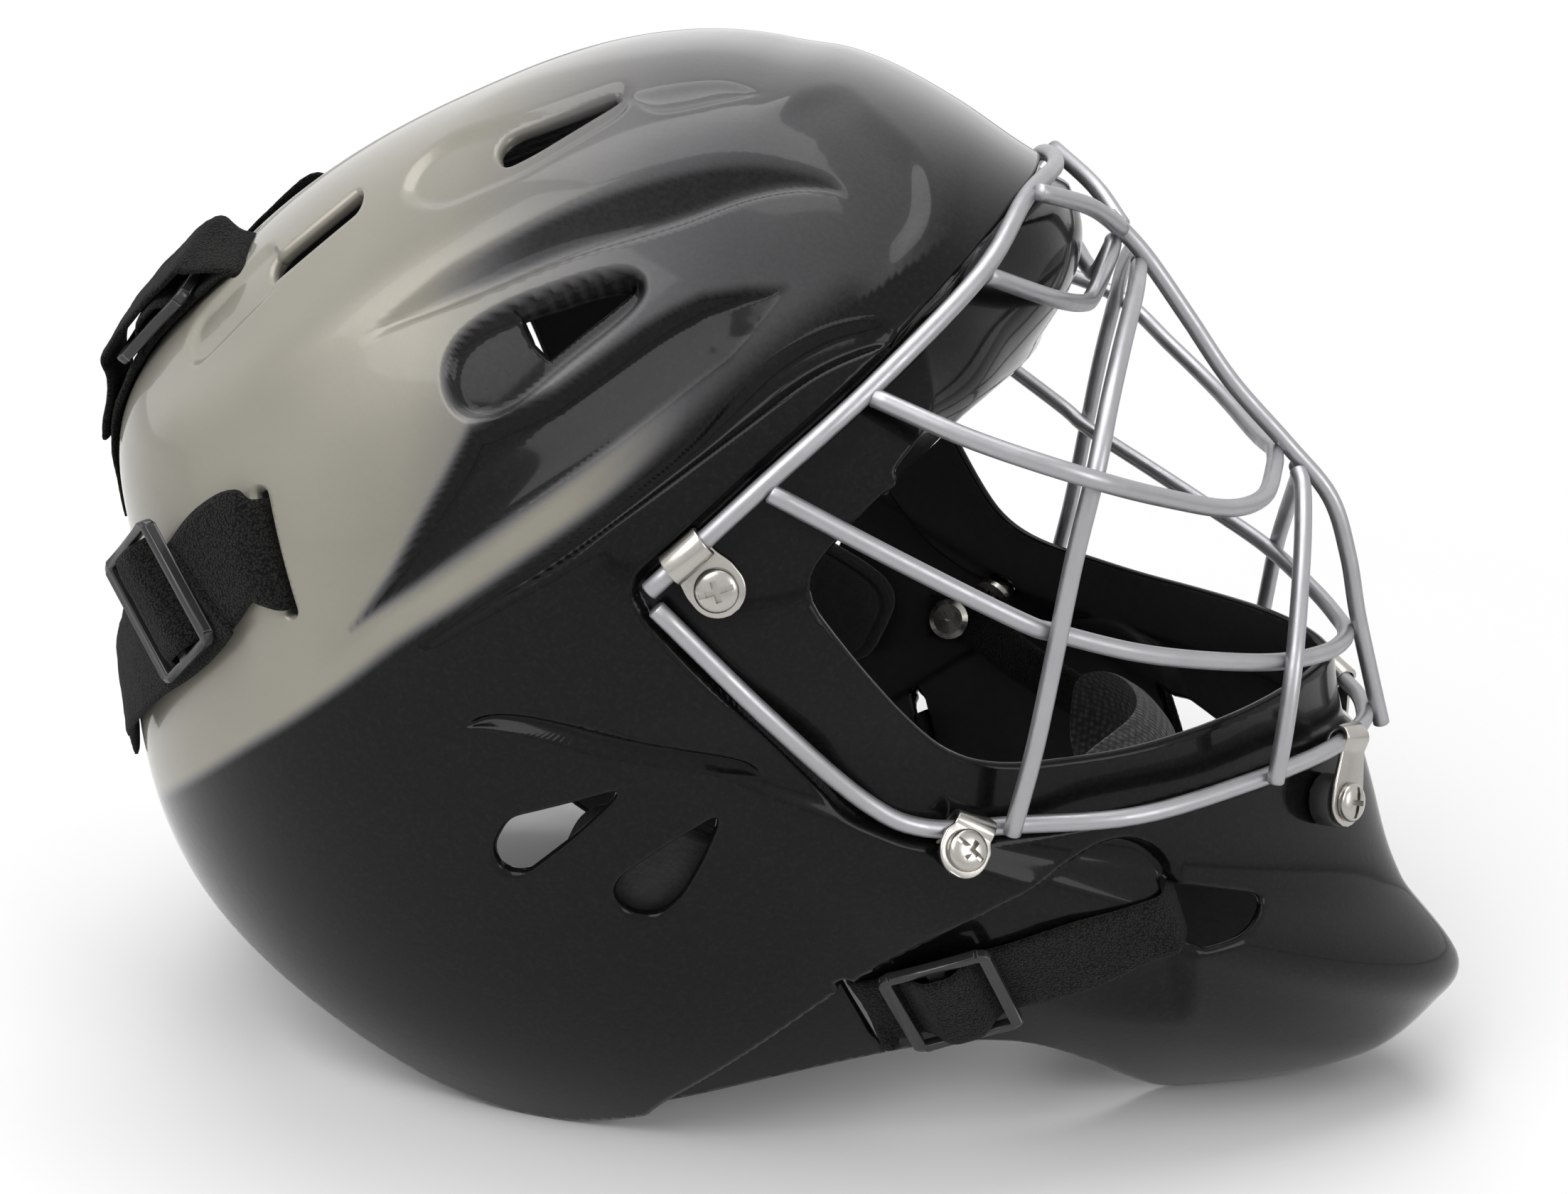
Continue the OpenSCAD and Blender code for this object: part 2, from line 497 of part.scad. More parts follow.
// The lower strap comes out of the chin slot, lies in the jaw panel and goes in through the lower slot
lower_ends = [[26, 68.5], [-34.5, 43.5]];
lower_run = [for (i = [0:8]) lower_ends[0] + (lower_ends[1] - lower_ends[0]) * i / 8];
lower_in = 16;      // width of the elastic where it is gathered in the chin slot
// Side-view point, height over the floor of the panel, depth inward, turn of the face, width
lower_route = concat([[[30.8, 69.8], 0, 8, 1, lower_in], [[30.6, 69.7], 0, 3, 1, lower_in],
    [[30, 69.5], 0, 0, 0.7, lower_in], [[28.4, 69.1], strap_t / 2, 0, 0.2, lower_in]],
    [for (i = [0:8]) [lower_run[i], strap_t / 2, 0, 0, min(strap_w, lower_in + 1 + 3 * i)]],
    [[[-37, 42.5], strap_t / 2 - 0.4, 0, -0.3, strap_w], [[-38.3, 42], -0.8, 0, -0.7, strap_w],
    [[-38.7, 41.9], 0, 3, -1, strap_w], [[-38.8, 41.8], 0, 8, -1, strap_w]]);
module lower_strap(way) {
    ahead = unit(side(lower_ends[0]) - side(lower_ends[1]));
    color(elastic) left_or_right(way)
        band([for (p = lower_route) side(p[0], p[1] + clear + 0.1 - jaw_d) - [0, p[2], 0]],
            [for (p = lower_route) (1 - abs(p[3])) * side_normal(p[0]) + p[3] * ahead],
            [for (p = lower_route) p[4]], strap_t);
}
// Slider: a frame with a middle bar for the strap to turn round
module slider() {
    len_x = 27;
    len_y = strap_w + 7;
    linear_extrude(slider_t) difference() {
        offset(3, $fn = 20) square([len_x - 6, len_y - 6], center = true);
        for (x = [-1, 1]) translate([x * 6.2, 0]) square([7.4, strap_w + 1], center = true);
    }
}
slider_off = 2 * clear + strap_t;
module on_route(r, i, lift = 0) {
    p = r[i];
    stand(over(p[0], p[1], slider_off + lift), over(r[i + 1][0], r[i + 1][1]) - over(p[0], p[1]),
        over_normal(p[0], p[1])) children();
}
module top_slider(way) { color(elastic) left_or_right(way) on_route(top_route, 3) slider(); }
module side_slider(way) { color(elastic) left_or_right(way) on_route(side_route, 5, 3.5 * sag) slider(); }
module lower_slider(way) {
    p = lower_run[6];
    color(elastic) left_or_right(way)
        stand(side(p, slider_off + 1.7 - jaw_d), side(lower_run[5]) - side(p), side_normal(p)) slider();
}

// ---------- chin cup ----------
snap = [-38, 80.3];
cup_centre = [-3, 0, 80];
cup_r = [32, 40];
function cup_point(u, v, off) = let (s = 1 - 0.28 * v * v - (v < 0 ? 0.2 * v * v : 0))
    at([cup_centre.x + (cup_r.x + off) * s * cos(u * 82), (cup_r.y + off) * s * sin(u * 82),
        cup_centre.z + v * 17]);
module chin_cup() {
    color(elastic) slab([for (j = [0:6]) [for (i = [0:10]) cup_point(1 - i / 5, j / 3 - 1, 0)]],
        [for (j = [0:6]) [for (i = [0:10]) cup_point(1 - i / 5, j / 3 - 1, -cup_t)]]);
}
snap_off = -shell_t - 4 * clear - sag;
chin_strap_t = 2;
module chin_strap(way) {
    up = side_normal(snap);
    ahead = unit([1, 0, 0] - up.x * up);
    start = side(snap, snap_off - chin_strap_t / 2);
    end = cup_point(0.93, 0, -cup_t / 2) + [0, cup_t / 2 + chin_strap_t / 2, 0];
    path = concat([start - 6.5 * ahead, start], curve([start + 7 * ahead, (start + end) / 2 + [2, 0.4,
        -1], end], 3));
    color(elastic) left_or_right(way) band(path, [for (i = [0:len(path) - 1]) i < 3 ? up : [0.25, 1, 0]],
        chin_strap_w, chin_strap_t);
}
module chin_snaps() {
    up = side_normal(snap);
    color(steel) for (way = [-1, 1]) left_or_right(way) stand(side(snap,
        snap_off - chin_strap_t - clear), [1, 0, 0], -up)
        rotate_extrude($fn = 16) polygon([[0, 0], [6, 0], [6, 1], [4.5, 2], [0, 2.4]]);
}

shell();
cage_upper_frame();
cage_lower_frame();
cage_brow_bar();
cage_upper_bar();
cage_lower_bar();
cage_centre_bar();
cage_fork();
outer_upright_of(1);  // cage_outer_upright_left
outer_upright_of(-1);  // cage_outer_upright_right
inner_upright_of(1);  // cage_inner_upright_left
inner_upright_of(-1);  // cage_inner_upright_right
clip_of(0, 1);  // upper_clip_left
clip_of(0, -1);  // upper_clip_right
clip_of(1, 1);  // lower_clip_left
clip_of(1, -1);  // lower_clip_right
clip_of(2, 1);  // front_clip_left
clip_of(2, -1);  // front_clip_right
front_spacers();
cage_screws();
cage_nuts();
forehead_pad();
crown_pad();
temple_pad(1);  // temple_pad_left
temple_pad(-1);  // temple_pad_right
jaw_pad(1);  // jaw_pad_left
jaw_pad(-1);  // jaw_pad_right
neck_pad(1);  // neck_pad_left
neck_pad(-1);  // neck_pad_right
rear_plate();
rear_plate_pad();
top_strap(1);  // top_strap_left
top_strap(-1);  // top_strap_right
side_strap(1);  // side_strap_left
side_strap(-1);  // side_strap_right
lower_strap(1);  // lower_strap_left
lower_strap(-1);  // lower_strap_right
top_slider(1);  // top_slider_left
top_slider(-1);  // top_slider_right
side_slider(1);  // side_slider_left
side_slider(-1);  // side_slider_right
lower_slider(1);  // lower_slider_left
lower_slider(-1);  // lower_slider_right
chin_cup();
chin_strap(1);  // chin_strap_left
chin_strap(-1);  // chin_strap_right
chin_snaps();
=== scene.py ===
"""Looks of the mask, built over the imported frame. Lengths below are in millimetres in the
side-view frame of the part (x forward from the drawn origin, y left, z up) until to_part()."""
import bmesh
import bpy
import math
import numpy as np
from mathutils import Vector, Matrix


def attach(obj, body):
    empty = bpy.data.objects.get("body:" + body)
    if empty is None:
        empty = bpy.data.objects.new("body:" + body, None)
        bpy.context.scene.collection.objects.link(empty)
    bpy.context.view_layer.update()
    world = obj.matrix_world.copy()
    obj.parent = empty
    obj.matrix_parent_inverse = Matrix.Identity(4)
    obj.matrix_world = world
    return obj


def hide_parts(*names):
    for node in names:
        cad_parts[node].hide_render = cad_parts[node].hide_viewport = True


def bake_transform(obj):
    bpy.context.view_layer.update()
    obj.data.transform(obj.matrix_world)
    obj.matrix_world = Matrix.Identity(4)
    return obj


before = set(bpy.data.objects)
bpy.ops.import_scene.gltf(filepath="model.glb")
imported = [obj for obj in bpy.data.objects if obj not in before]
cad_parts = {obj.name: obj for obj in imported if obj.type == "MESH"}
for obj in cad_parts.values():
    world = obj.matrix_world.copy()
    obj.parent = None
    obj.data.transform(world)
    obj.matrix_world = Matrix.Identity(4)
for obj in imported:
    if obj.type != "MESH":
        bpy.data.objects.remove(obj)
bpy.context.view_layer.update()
MID_X = 67.27


def to_part(p):
    return (np.asarray(p, float) + [MID_X, 0, 0]) / 1000


# ---------- small maths ----------
def smooth(a, b, x):
    t = np.clip((x - a) / (b - a), 0, 1)
    return t * t * (3 - 2 * t)


def unit(v):
    v = np.asarray(v, float)
    return v / np.maximum(np.linalg.norm(v, axis=-1, keepdims=True), 1e-12)


def hermite(u, h, v0, v1, s0, s1):
    """Cubic over a span h between two values with given slopes, at share u of the span."""
    return ((2 * u**3 - 3 * u * u + 1) * v0 + (u**3 - 2 * u * u + u) * h * s0
            + (3 * u * u - 2 * u**3) * v1 + (u**3 - u * u) * h * s1)


def table(rows, col, period=360):
    """Smooth curve through a column of a table of angles, the same after each turn."""
    a = np.array([r[0] for r in rows], float)
    v = np.array([r[col] for r in rows], float)
    a = np.concatenate([a[-2:] - period, a, a[:3] + period])
    v = np.concatenate([v[-2:], v, v[:3]])
    s = (v[2:] - v[:-2]) / (a[2:] - a[:-2])

    def read(x):
        x = (np.asarray(x, float) + 180) % 360 - 180
        i = np.clip(np.searchsorted(a, x, side="right") - 1, 1, len(a) - 3)
        h = a[i + 1] - a[i]
        return hermite((x - a[i]) / h, h, v[i], v[i + 1], s[i - 1], s[i])
    return read


def spline(points, n):
    """Smooth curve through the points."""
    p = [np.asarray(q, float) for q in points]
    e = [2 * p[0] - p[1]] + p + [2 * p[-1] - p[-2]]
    out = []
    for i in range(1, len(p)):
        a, b, c, d = e[i - 1:i + 3]
        for j in range(n):
            t = j / n
            out.append(0.5 * (2 * b + (c - a) * t + (2 * a - 5 * b + 4 * c - d) * t * t
                              + (3 * b - a - 3 * c + d) * t**3))
    return np.array(out + [p[-1]])


def rounded(points, r, n=6):
    """Closed outline with its corners rounded."""
    p = np.array(points, float)
    out = []
    for i in range(len(p)):
        a, b, c = p[i - 1], p[i], p[(i + 1) % len(p)]
        da, dc = np.linalg.norm(a - b), np.linalg.norm(c - b)
        s, e = b + (a - b) * min(r, da / 2) / da, b + (c - b) * min(r, dc / 2) / dc
        for t in np.linspace(0, 1, n):
            out.append((1 - t)**2 * s + 2 * t * (1 - t) * b + t * t * e)
    return np.array(out)


def inside(outline, x, z):
    """Distance to a closed side-view outline, positive within it."""
    d = np.full(x.shape, 1e9)
    odd = np.zeros(x.shape, bool)
    for a, b in zip(np.roll(outline, 1, axis=0), outline):
        e = b - a
        if abs(e).max() < 1e-9:
            continue
        wx, wz = x - a[0], z - a[1]
        h = np.clip((wx * e[0] + wz * e[1]) / (e @ e), 0, 1)
        d = np.minimum(d, np.hypot(wx - h * e[0], wz - h * e[1]))
        if abs(e[1]) > 1e-12:
            odd ^= ((a[1] <= z) != (b[1] <= z)) & (x < a[0] + (z - a[1]) * e[0] / e[1])
    return np.where(odd, d, -d)


def along(points, x, z):
    """Distance to an open side-view line, share of its length, and side of it."""
    p = np.asarray(points, float)
    seg = np.linalg.norm(np.diff(p, axis=0), axis=1)
    run = np.concatenate([[0], np.cumsum(seg)])
    best, share, sign = np.full(x.shape, 1e9), np.zeros(x.shape), np.zeros(x.shape)
    for i in range(len(seg)):
        a, e = p[i], p[i + 1] - p[i]
        wx, wz = x - a[0], z - a[1]
        h = np.clip((wx * e[0] + wz * e[1]) / (e @ e), 0, 1)
        d = np.hypot(wx - h * e[0], wz - h * e[1])
        near = d < best
        best = np.where(near, d, best)
        share = np.where(near, (run[i] + h * seg[i]) / run[-1], share)
        sign = np.where(near, np.sign(e[0] * wz - e[1] * wx), sign)
    return best, share, sign


def between(top, low):
    """Closed outline of what lies between two lines that meet at both ends."""
    return np.concatenate([top, low[-2:0:-1]])


# ---------- the skin ----------
EAR = (-100.0, 125.0)
HALF = 116.0
REACH = [
    [-180, 140], [-150, 155], [-120, 167], [-90, 174], [-60, 178], [-45, 193], [-32, 224],
    [-26.5, 228.5], [-23, 226.5], [-19.7, 203], [-14, 186], [-5, 170], [15, 158], [35, 149], [55, 133],
    [75, 131], [95, 131], [120, 129], [145, 136], [165, 146]
]
FALL = [
    [-160, 2.6, 2.2], [-90, 2.0, 1.9], [-20, 1.45, 1.4], [30, 2.1, 2.0], [90, 2.4, 2.3], [140, 2.8, 2.4]
]
reach, fall_r, fall_y = table(REACH, 1), table(FALL, 1), table(FALL, 2)
SHELL_T, LIP_D, JAW_D, FLUTE_D, WEDGE_D = 3.5, 3.0, 5.0, 3.0, 3.0
WIRE_R, WIRE_LIFT = 2.1, 1.1
STRAP_W, STRAP_T = 25.0, 1.6


def half_at(x, z, off=0.0):
    dx, dz = np.asarray(x, float) - EAR[0], np.asarray(z, float) - EAR[1]
    a = np.degrees(np.arctan2(dz, dx))
    f = np.clip(np.hypot(dx, dz) / (reach(a) + off), 0, 1)
    return (HALF + off) * np.maximum(1 - f**fall_r(a), 0)**(1 / fall_y(a))


def side(x, z, off=0.0):
    return np.stack(np.broadcast_arrays(x, half_at(x, z, off), z), -1).astype(float)


def over(a, y, off=0.0):
    r = (reach(a) + off) * np.maximum(1 - (np.abs(y) / (HALF + off))**fall_y(a), 0)**(1 / fall_r(a))
    t = np.radians(a)
    return np.stack(np.broadcast_arrays(EAR[0] + r * np.cos(t), y, EAR[1] + r * np.sin(t)), -1).astype(float)


def side_normal(x, z):
    return unit(np.cross(side(x, z + 1) - side(x, z - 1), side(x + 1, z) - side(x - 1, z)))


def over_normal(a, y):
    return unit(np.cross(over(a, y + 1) - over(a, y - 1), over(a + 1, y) - over(a - 1, y)))


# ---------- meshes ----------
def linked(name, data):
    ob = bpy.data.objects.new(name, data)
    bpy.context.collection.objects.link(ob)
    return ob


def mesh_object(name, verts, faces, body, mats, replaces=(), mat_index=None):
    me = bpy.data.meshes.new(name)
    me.from_pydata(np.asarray(verts, float).tolist(), [], [tuple(int(i) for i in f) for f in faces])
    me.validate()
    me.update()
    if mat_index is not None:
        me.polygons.foreach_set("material_index", np.asarray(mat_index, np.int32))
    me.polygons.foreach_set("use_smooth", np.full(len(me.polygons), True))
    for m in mats:
        me.materials.append(m)
    ob = linked(name, me)
    if replaces:
        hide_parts(*replaces)
    if body:
        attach(ob, body)
    return ob


def piece(name, part, body, mat, node=None):
    """A visible piece of one material, which replaces the node if one is named."""
    verts, faces = part
    return mesh_object(name, to_part(verts), faces, body, [mat], [node] if node else ())


def sharpen(ob, degrees):
    """Marks the creases, so that flat parts shade flat and round ones round."""
    ob.data.set_sharp_from_angle(angle=math.radians(degrees))


def carried(path, first):
    """Tangents of a path, and normals carried along it without twist."""
    t = unit(np.gradient(path, axis=0))
    n = [unit(first - (first @ t[0]) * t[0])]
    for i in range(1, len(t)):
        n.append(unit(n[-1] - (n[-1] @ t[i]) * t[i]))
    return t, np.array(n)


def tube_sides(rows, m):
    """Faces round a tube of rows with m points each."""
    faces = []
    for i in range(rows - 1):
        for j in range(m):
            q = (j + 1) % m
            faces.append((i * m + j, i * m + q, (i + 1) * m + q, (i + 1) * m + j))
    return faces


def tube(rows, m):
    """The same faces with both ends closed."""
    ends = [tuple(range(m - 1, -1, -1)), tuple((rows - 1) * m + j for j in range(m))]
    return tube_sides(rows, m) + ends


def sweep(path, section, first, scale):
    """Section (n x 2, across and up) swept along a path, at a scale for each of its points."""
    t, n = carried(path, first)
    b = np.cross(t, n)
    verts = []
    for i in range(len(path)):
        s = section * scale[i]
        verts.append(path[i] + s[:, :1] * b[i] + s[:, 1:] * n[i])
    return np.concatenate(verts), tube(len(path), len(section))


def round_section(w, t, r, n=4):
    """Outline of a flat band with rounded edges."""
    out = []
    for cx, cy, a in [(w / 2 - r, t / 2 - r, 0), (-w / 2 + r, t / 2 - r, 90),
                      (-w / 2 + r, -t / 2 + r, 180), (w / 2 - r, -t / 2 + r, 270)]:
        for k in range(n + 1):
            q = math.radians(a + 90 * k / n)
            out.append([cx + r * math.cos(q), cy + r * math.sin(q)])
    return np.array(out)


def join(parts):
    verts, faces, n = [], [], 0
    for v, f in parts:
        verts.append(np.asarray(v))
        faces += [tuple(i + n for i in q) for q in f]
        n += len(v)
    return np.concatenate(verts), faces


def mirror(part):
    v, f = part
    return np.asarray(v) * [1, -1, 1], [tuple(reversed(q)) for q in f]


SIDES = ((1, "left"), (-1, "right"))


def on_side(part, way):
    """The part, which is modelled on the left, or its mirror image."""
    return part if way > 0 else mirror(part)


def both_sides(part):
    return [(tag, on_side(part, way)) for way, tag in SIDES]


# ---------- materials ----------
def material(name, colour, rough, metal=0.0, coat=0.0, coat_rough=0.05, spec=0.5, sheen=0.0):
    m = bpy.data.materials.new(name)
    m.use_nodes = True
    nt = m.node_tree
    b = nt.nodes["Principled BSDF"]
    b.inputs["Base Color"].default_value = (*colour, 1)
    b.inputs["Roughness"].default_value = rough
    b.inputs["Metallic"].default_value = metal
    b.inputs["Coat Weight"].default_value = coat
    b.inputs["Coat Roughness"].default_value = coat_rough
    b.inputs["Specular IOR Level"].default_value = spec
    b.inputs["Sheen Weight"].default_value = sheen
    b.inputs["Sheen Roughness"].default_value = 0.5
    return m, nt, b


def add(nt, kind, **values):
    n = nt.nodes.new(kind)
    for k, v in values.items():
        if k.startswith("_"):
            n.inputs[k[1:].replace("_", " ")].default_value = v
        else:
            setattr(n, k, v)
    return n


def coords(nt):
    return add(nt, "ShaderNodeTexCoord").outputs["Object"]


def noise(nt, scale, detail=2.0, rough=0.5):
    n = add(nt, "ShaderNodeTexNoise", _Scale=scale, _Detail=detail, _Roughness=rough)
    nt.links.new(coords(nt), n.inputs["Vector"])
    return n.outputs["Fac"]


def cells(nt, scale, **values):
    n = add(nt, "ShaderNodeTexVoronoi", _Scale=scale, **values)
    nt.links.new(coords(nt), n.inputs["Vector"])
    return n.outputs["Distance"]


def remap(nt, value, a, b, c, d):
    n = add(nt, "ShaderNodeMapRange")
    for i, v in zip(("From Min", "From Max", "To Min", "To Max"), (a, b, c, d)):
        n.inputs[i].default_value = v
    nt.links.new(value, n.inputs["Value"])
    return n.outputs["Result"]


def mix(nt, fac, a, b):
    n = add(nt, "ShaderNodeMix", data_type="RGBA")
    nt.links.new(fac, n.inputs["Factor"])
    for sock, v in ((n.inputs[6], a), (n.inputs[7], b)):
        if isinstance(v, tuple):
            sock.default_value = (*v, 1)
        else:
            nt.links.new(v, sock)
    return n.outputs[2]


def maths(nt, op, a, b):
    n = add(nt, "ShaderNodeMath", operation=op)
    for sock, v in zip(n.inputs, (a, b)):
        if isinstance(v, (int, float)):
            sock.default_value = v
        else:
            nt.links.new(v, sock)
    return n.outputs[0]


def bump(nt, b, height, strength, distance):
    n = add(nt, "ShaderNodeBump", _Strength=strength, _Distance=distance)
    nt.links.new(height, n.inputs["Height"])
    nt.links.new(n.outputs["Normal"], b.inputs["Normal"])


def tint(nt, b, share, first, second):
    """Base colour that runs from the first tone to the second."""
    nt.links.new(mix(nt, share, first, second), b.inputs["Base Color"])


def wander(nt, b, scale, low, high):
    """Roughness that wanders between two values."""
    nt.links.new(remap(nt, noise(nt, scale, 3), 0.3, 0.7, low, high), b.inputs["Roughness"])


def shade(colour, share):
    return tuple(min(c * share, 0.9) for c in colour)


DARK_TONES = (0.0030, 0.0033, 0.0033), (0.0042, 0.0045, 0.0044)
SILVER_TONES = (0.255, 0.242, 0.205), (0.295, 0.281, 0.24)
# PEARL is the grey where the silver runs thin; towards the brow it partly stands for a painted reflection
PEARL = (0.262, 0.258, 0.270)


def paint_material():
    """Paint that runs from dark to silver by a share stored on the mesh; that share also carries painted
    reflection and painted shade.
    """
    m, nt, b = material("shell_paint", (0.02, 0.02, 0.021), 0.3, coat=1.0, coat_rough=0.07, spec=0.05)
    b.inputs["Coat IOR"].default_value = 1.19
    fade = add(nt, "ShaderNodeAttribute", attribute_name="fade").outputs["Fac"]
    speck = remap(nt, noise(nt, 900, 3, 0.6), 0.35, 0.65, -0.012, 0.012)
    silver = mix(nt, remap(nt, noise(nt, 14, 3), 0.3, 0.7, 0, 1), *SILVER_TONES)
    dark = mix(nt, remap(nt, noise(nt, 700, 2), 0.4, 0.7, 0, 1), *DARK_TONES)
    pearl = mix(nt, remap(nt, fade, 0.25, 0.85, 0, 1), PEARL, silver)
    tint(nt, b, maths(nt, "ADD", fade, speck), dark, pearl)
    nt.links.new(remap(nt, fade, 0, 1, 0.0, 0.35), b.inputs["Metallic"])
    nt.links.new(remap(nt, fade, 0, 1, 0.28, 0.4), b.inputs["Roughness"])
    bump(nt, b, noise(nt, 420, 2, 0.5), 0.05, 0.0006)
    return m


def inner_material():
    m, nt, b = material("shell_inside", (0.012, 0.012, 0.013), 0.6, spec=0.3)
    tint(nt, b, noise(nt, 350, 3), (0.009, 0.009, 0.0095), (0.018, 0.018, 0.019))
    bump(nt, b, noise(nt, 600, 3, 0.6), 0.25, 0.0005)
    return m


def steel_material(name, colour, rough, metal):
    m, nt, b = material(name, colour, rough, metal)
    tint(nt, b, noise(nt, 120, 4, 0.6), shade(colour, 0.9), shade(colour, 1.08))
    wander(nt, b, 260, rough * 0.85, rough * 1.2)
    bump(nt, b, noise(nt, 800, 2), 0.05, 0.0003)
    return m


def elastic_material():
    m, nt, b = material("elastic", (0.010, 0.010, 0.010), 0.95, spec=0.05, sheen=0.12)
    b.inputs["Sheen Tint"].default_value = (0.5, 0.5, 0.5, 1)
    loops = maths(nt, "ADD", cells(nt, 1700.0, _Randomness=0.9), noise(nt, 1100, 5, 0.75))
    tint(nt, b, remap(nt, loops, 0.6, 1.2, 0, 1), (0.024, 0.024, 0.022), (0.004, 0.004, 0.004))
    bump(nt, b, loops, 0.8, 0.0006)
    return m


def plastic_material(name, colour, rough):
    m, nt, b = material(name, colour, rough, spec=0.45)
    tint(nt, b, noise(nt, 300, 3), shade(colour, 0.75), shade(colour, 1.3))
    wander(nt, b, 90, rough * 0.85, rough * 1.15)
    bump(nt, b, noise(nt, 1100, 2), 0.08, 0.0003)
    return m


def foam_material():
    m, nt, b = material("foam", (0.022, 0.022, 0.023), 0.9, spec=0.15, sheen=0.15)
    tint(nt, b, noise(nt, 180, 3), (0.014, 0.014, 0.015), (0.030, 0.030, 0.031))
    bump(nt, b, cells(nt, 700.0), 0.5, 0.0006)
    return m


def cup_material():
    m, nt, b = material("cup_fabric", (0.075, 0.075, 0.078), 0.85, spec=0.2, sheen=0.3)
    knit = cells(nt, 620.0, _Randomness=0.25)
    tint(nt, b, remap(nt, knit, 0.1, 0.6, 0, 1), (0.10, 0.10, 0.104), (0.030, 0.030, 0.032))
    bump(nt, b, knit, 0.8, -0.0007)
    return m


PAINT = paint_material()
INNER = inner_material()
CAGE = steel_material("cage_wire", (0.36, 0.36, 0.375), 0.38, 0.8)
STEEL = steel_material("polished_steel", (0.42, 0.404, 0.375), 0.26, 1.0)
ELASTIC = elastic_material()
RUBBER = plastic_material("rubber_spacer", (0.015, 0.015, 0.016), 0.6)
SLIDER = plastic_material("slider_plastic", (0.022, 0.022, 0.023), 0.22)
PLATE = plastic_material("plate_plastic", (0.02, 0.02, 0.021), 0.4)
FOAM = foam_material()
CUP = cup_material()


# ---------- the shell ----------
EDGE = rounded([
    [-260, 78], [-230, 71], [-222, 56], [-210, 45], [-187, 31], [-160, 15], [-143, 5], [-127, 0],
    [-108, 0], [-86, 9], [-64, 18], [-44, 24], [-24, 28.5], [-12, 29.5], [2, 27], [17, 19], [28, 8],
    [37, 0], [90, 0], [140, 30], [140, 300], [-260, 300]
], 12)
OPENING = rounded([
    [-59.5, 157.5], [-46.7, 174], [-34, 186], [-27, 192], [-16, 194.5], [140, 194.5], [140, 121],
    [61, 117], [40, 113], [17, 110], [-12, 110], [-24, 114], [-33, 123], [-46, 140]
], 9)
LIP = rounded([
    [-94, 156], [-70, 181.5], [-50.5, 200.5], [-31.7, 221], [-20.3, 234.2], [10, 268], [140, 268],
    [140, 100], [62, 98], [18, 95], [-8, 94.5], [-30.5, 95.5], [-45, 102.5], [-66, 126], [-90, 149]
], 5)
BROW_ZONE = rounded([[-52, 199], [-32.2, 220.5], [-20.3, 234.2], [10, 268], [140, 268], [140, 176],
                     [-36, 176]], 4)
BROW_Y = [0, 30, 47, 65, 82]
BROW = [
    [178, [-24, -25.5, -28, -32, -38]], [194, [-15.8, -18, -21.5, -26.5, -34]],
    [205, [-10.5, -14.5, -21, -29.5, -42]], [217, [-9.5, -15, -25, -38, -55]],
    [234, [-18.2, -23, -33, -50, -70]]
]
JAW = rounded([
    [15, 93], [-5, 83], [-26, 69], [-45, 53], [-64, 34], [-88, 11], [-100, -12], [44, -12], [37, 52],
    [34, 72], [28, 86]
], 8)
FLUTE = rounded([[-155, 138], [-132, 183], [-106, 193], [-72, 206], [-68, 196], [-82, 176], [-109, 154],
                 [-140, 137]], 14)
CHIN_SLOT = rounded([[24.8, 80.5], [33, 60], [50, 63], [54, 67], [51, 71]], 4)
HOLES = [(-75, 156), (-21, 94), (64, 88)]
SCREW_HOLE_R = 4.3

# Slots between two points of the side view, and the top strap's slot across angle and y
SLOT_R = 2.6
REAR_VENT = ([-188, 204], [-171, 220])
SIDE_SLOT = ([-178.5, 162], [-170, 139])
SIDE_SLOT_MID = (-174.3, 150.5)
LOWER_SLOT = ([-43.5, 54.5], [-33.5, 29.5])
TOP_SLOT = (143.0, 45.0)
TOP_SLOT_HALF = 11.4

# The opening at the rear is round above this height and straight below it
REAR_Z, REAR_R, REAR_HALF = 125, 62, 60


def brow_front(y, z):
    """How far forward the brow panel lies."""
    ys, zs = np.array(BROW_Y, float), np.array([b[0] for b in BROW], float)
    widest = BROW_Y[-1]
    yy = np.clip(np.abs(y), 0, 110)
    fine = np.linspace(0, widest, 83)
    i = np.clip(np.searchsorted(ys, fine, side="right") - 1, 0, 3)
    h = ys[i + 1] - ys[i]
    u = (fine - ys[i]) / h
    rows = []
    for _, values in BROW:
        v = np.array(values, float)
        s = np.gradient(v, ys)
        s[0] = 0
        f = hermite(u, h, v[i], v[i + 1], s[i], s[i + 1])
        rows.append(np.where(yy > widest, f[-1] + s[-1] * (yy - widest), np.interp(yy, fine, f)))
    rows = np.array(rows)
    s = np.gradient(rows, zs, axis=0)
    zc = np.clip(z, 150, 245)
    i = np.clip(np.searchsorted(zs, zc, side="right") - 1, 0, 3)
    pick = np.indices(zc.shape)
    take = lambda m, k: m[(k, *pick)]
    h = zs[i + 1] - zs[i]
    middle = hermite((zc - zs[i]) / h, h, take(rows, i), take(rows, i + 1), take(s, i), take(s, i + 1))
    low = rows[0] + s[0] * (zc - zs[0])
    high = rows[-1] + s[-1] * (zc - zs[-1])
    return np.where(zc < zs[0], low, np.where(zc > zs[-1], high, middle))


def capsule(a, b, r, x, z):
    """Distance into a slot with round ends, positive within it."""
    return r - along([a, b], x, z)[0]


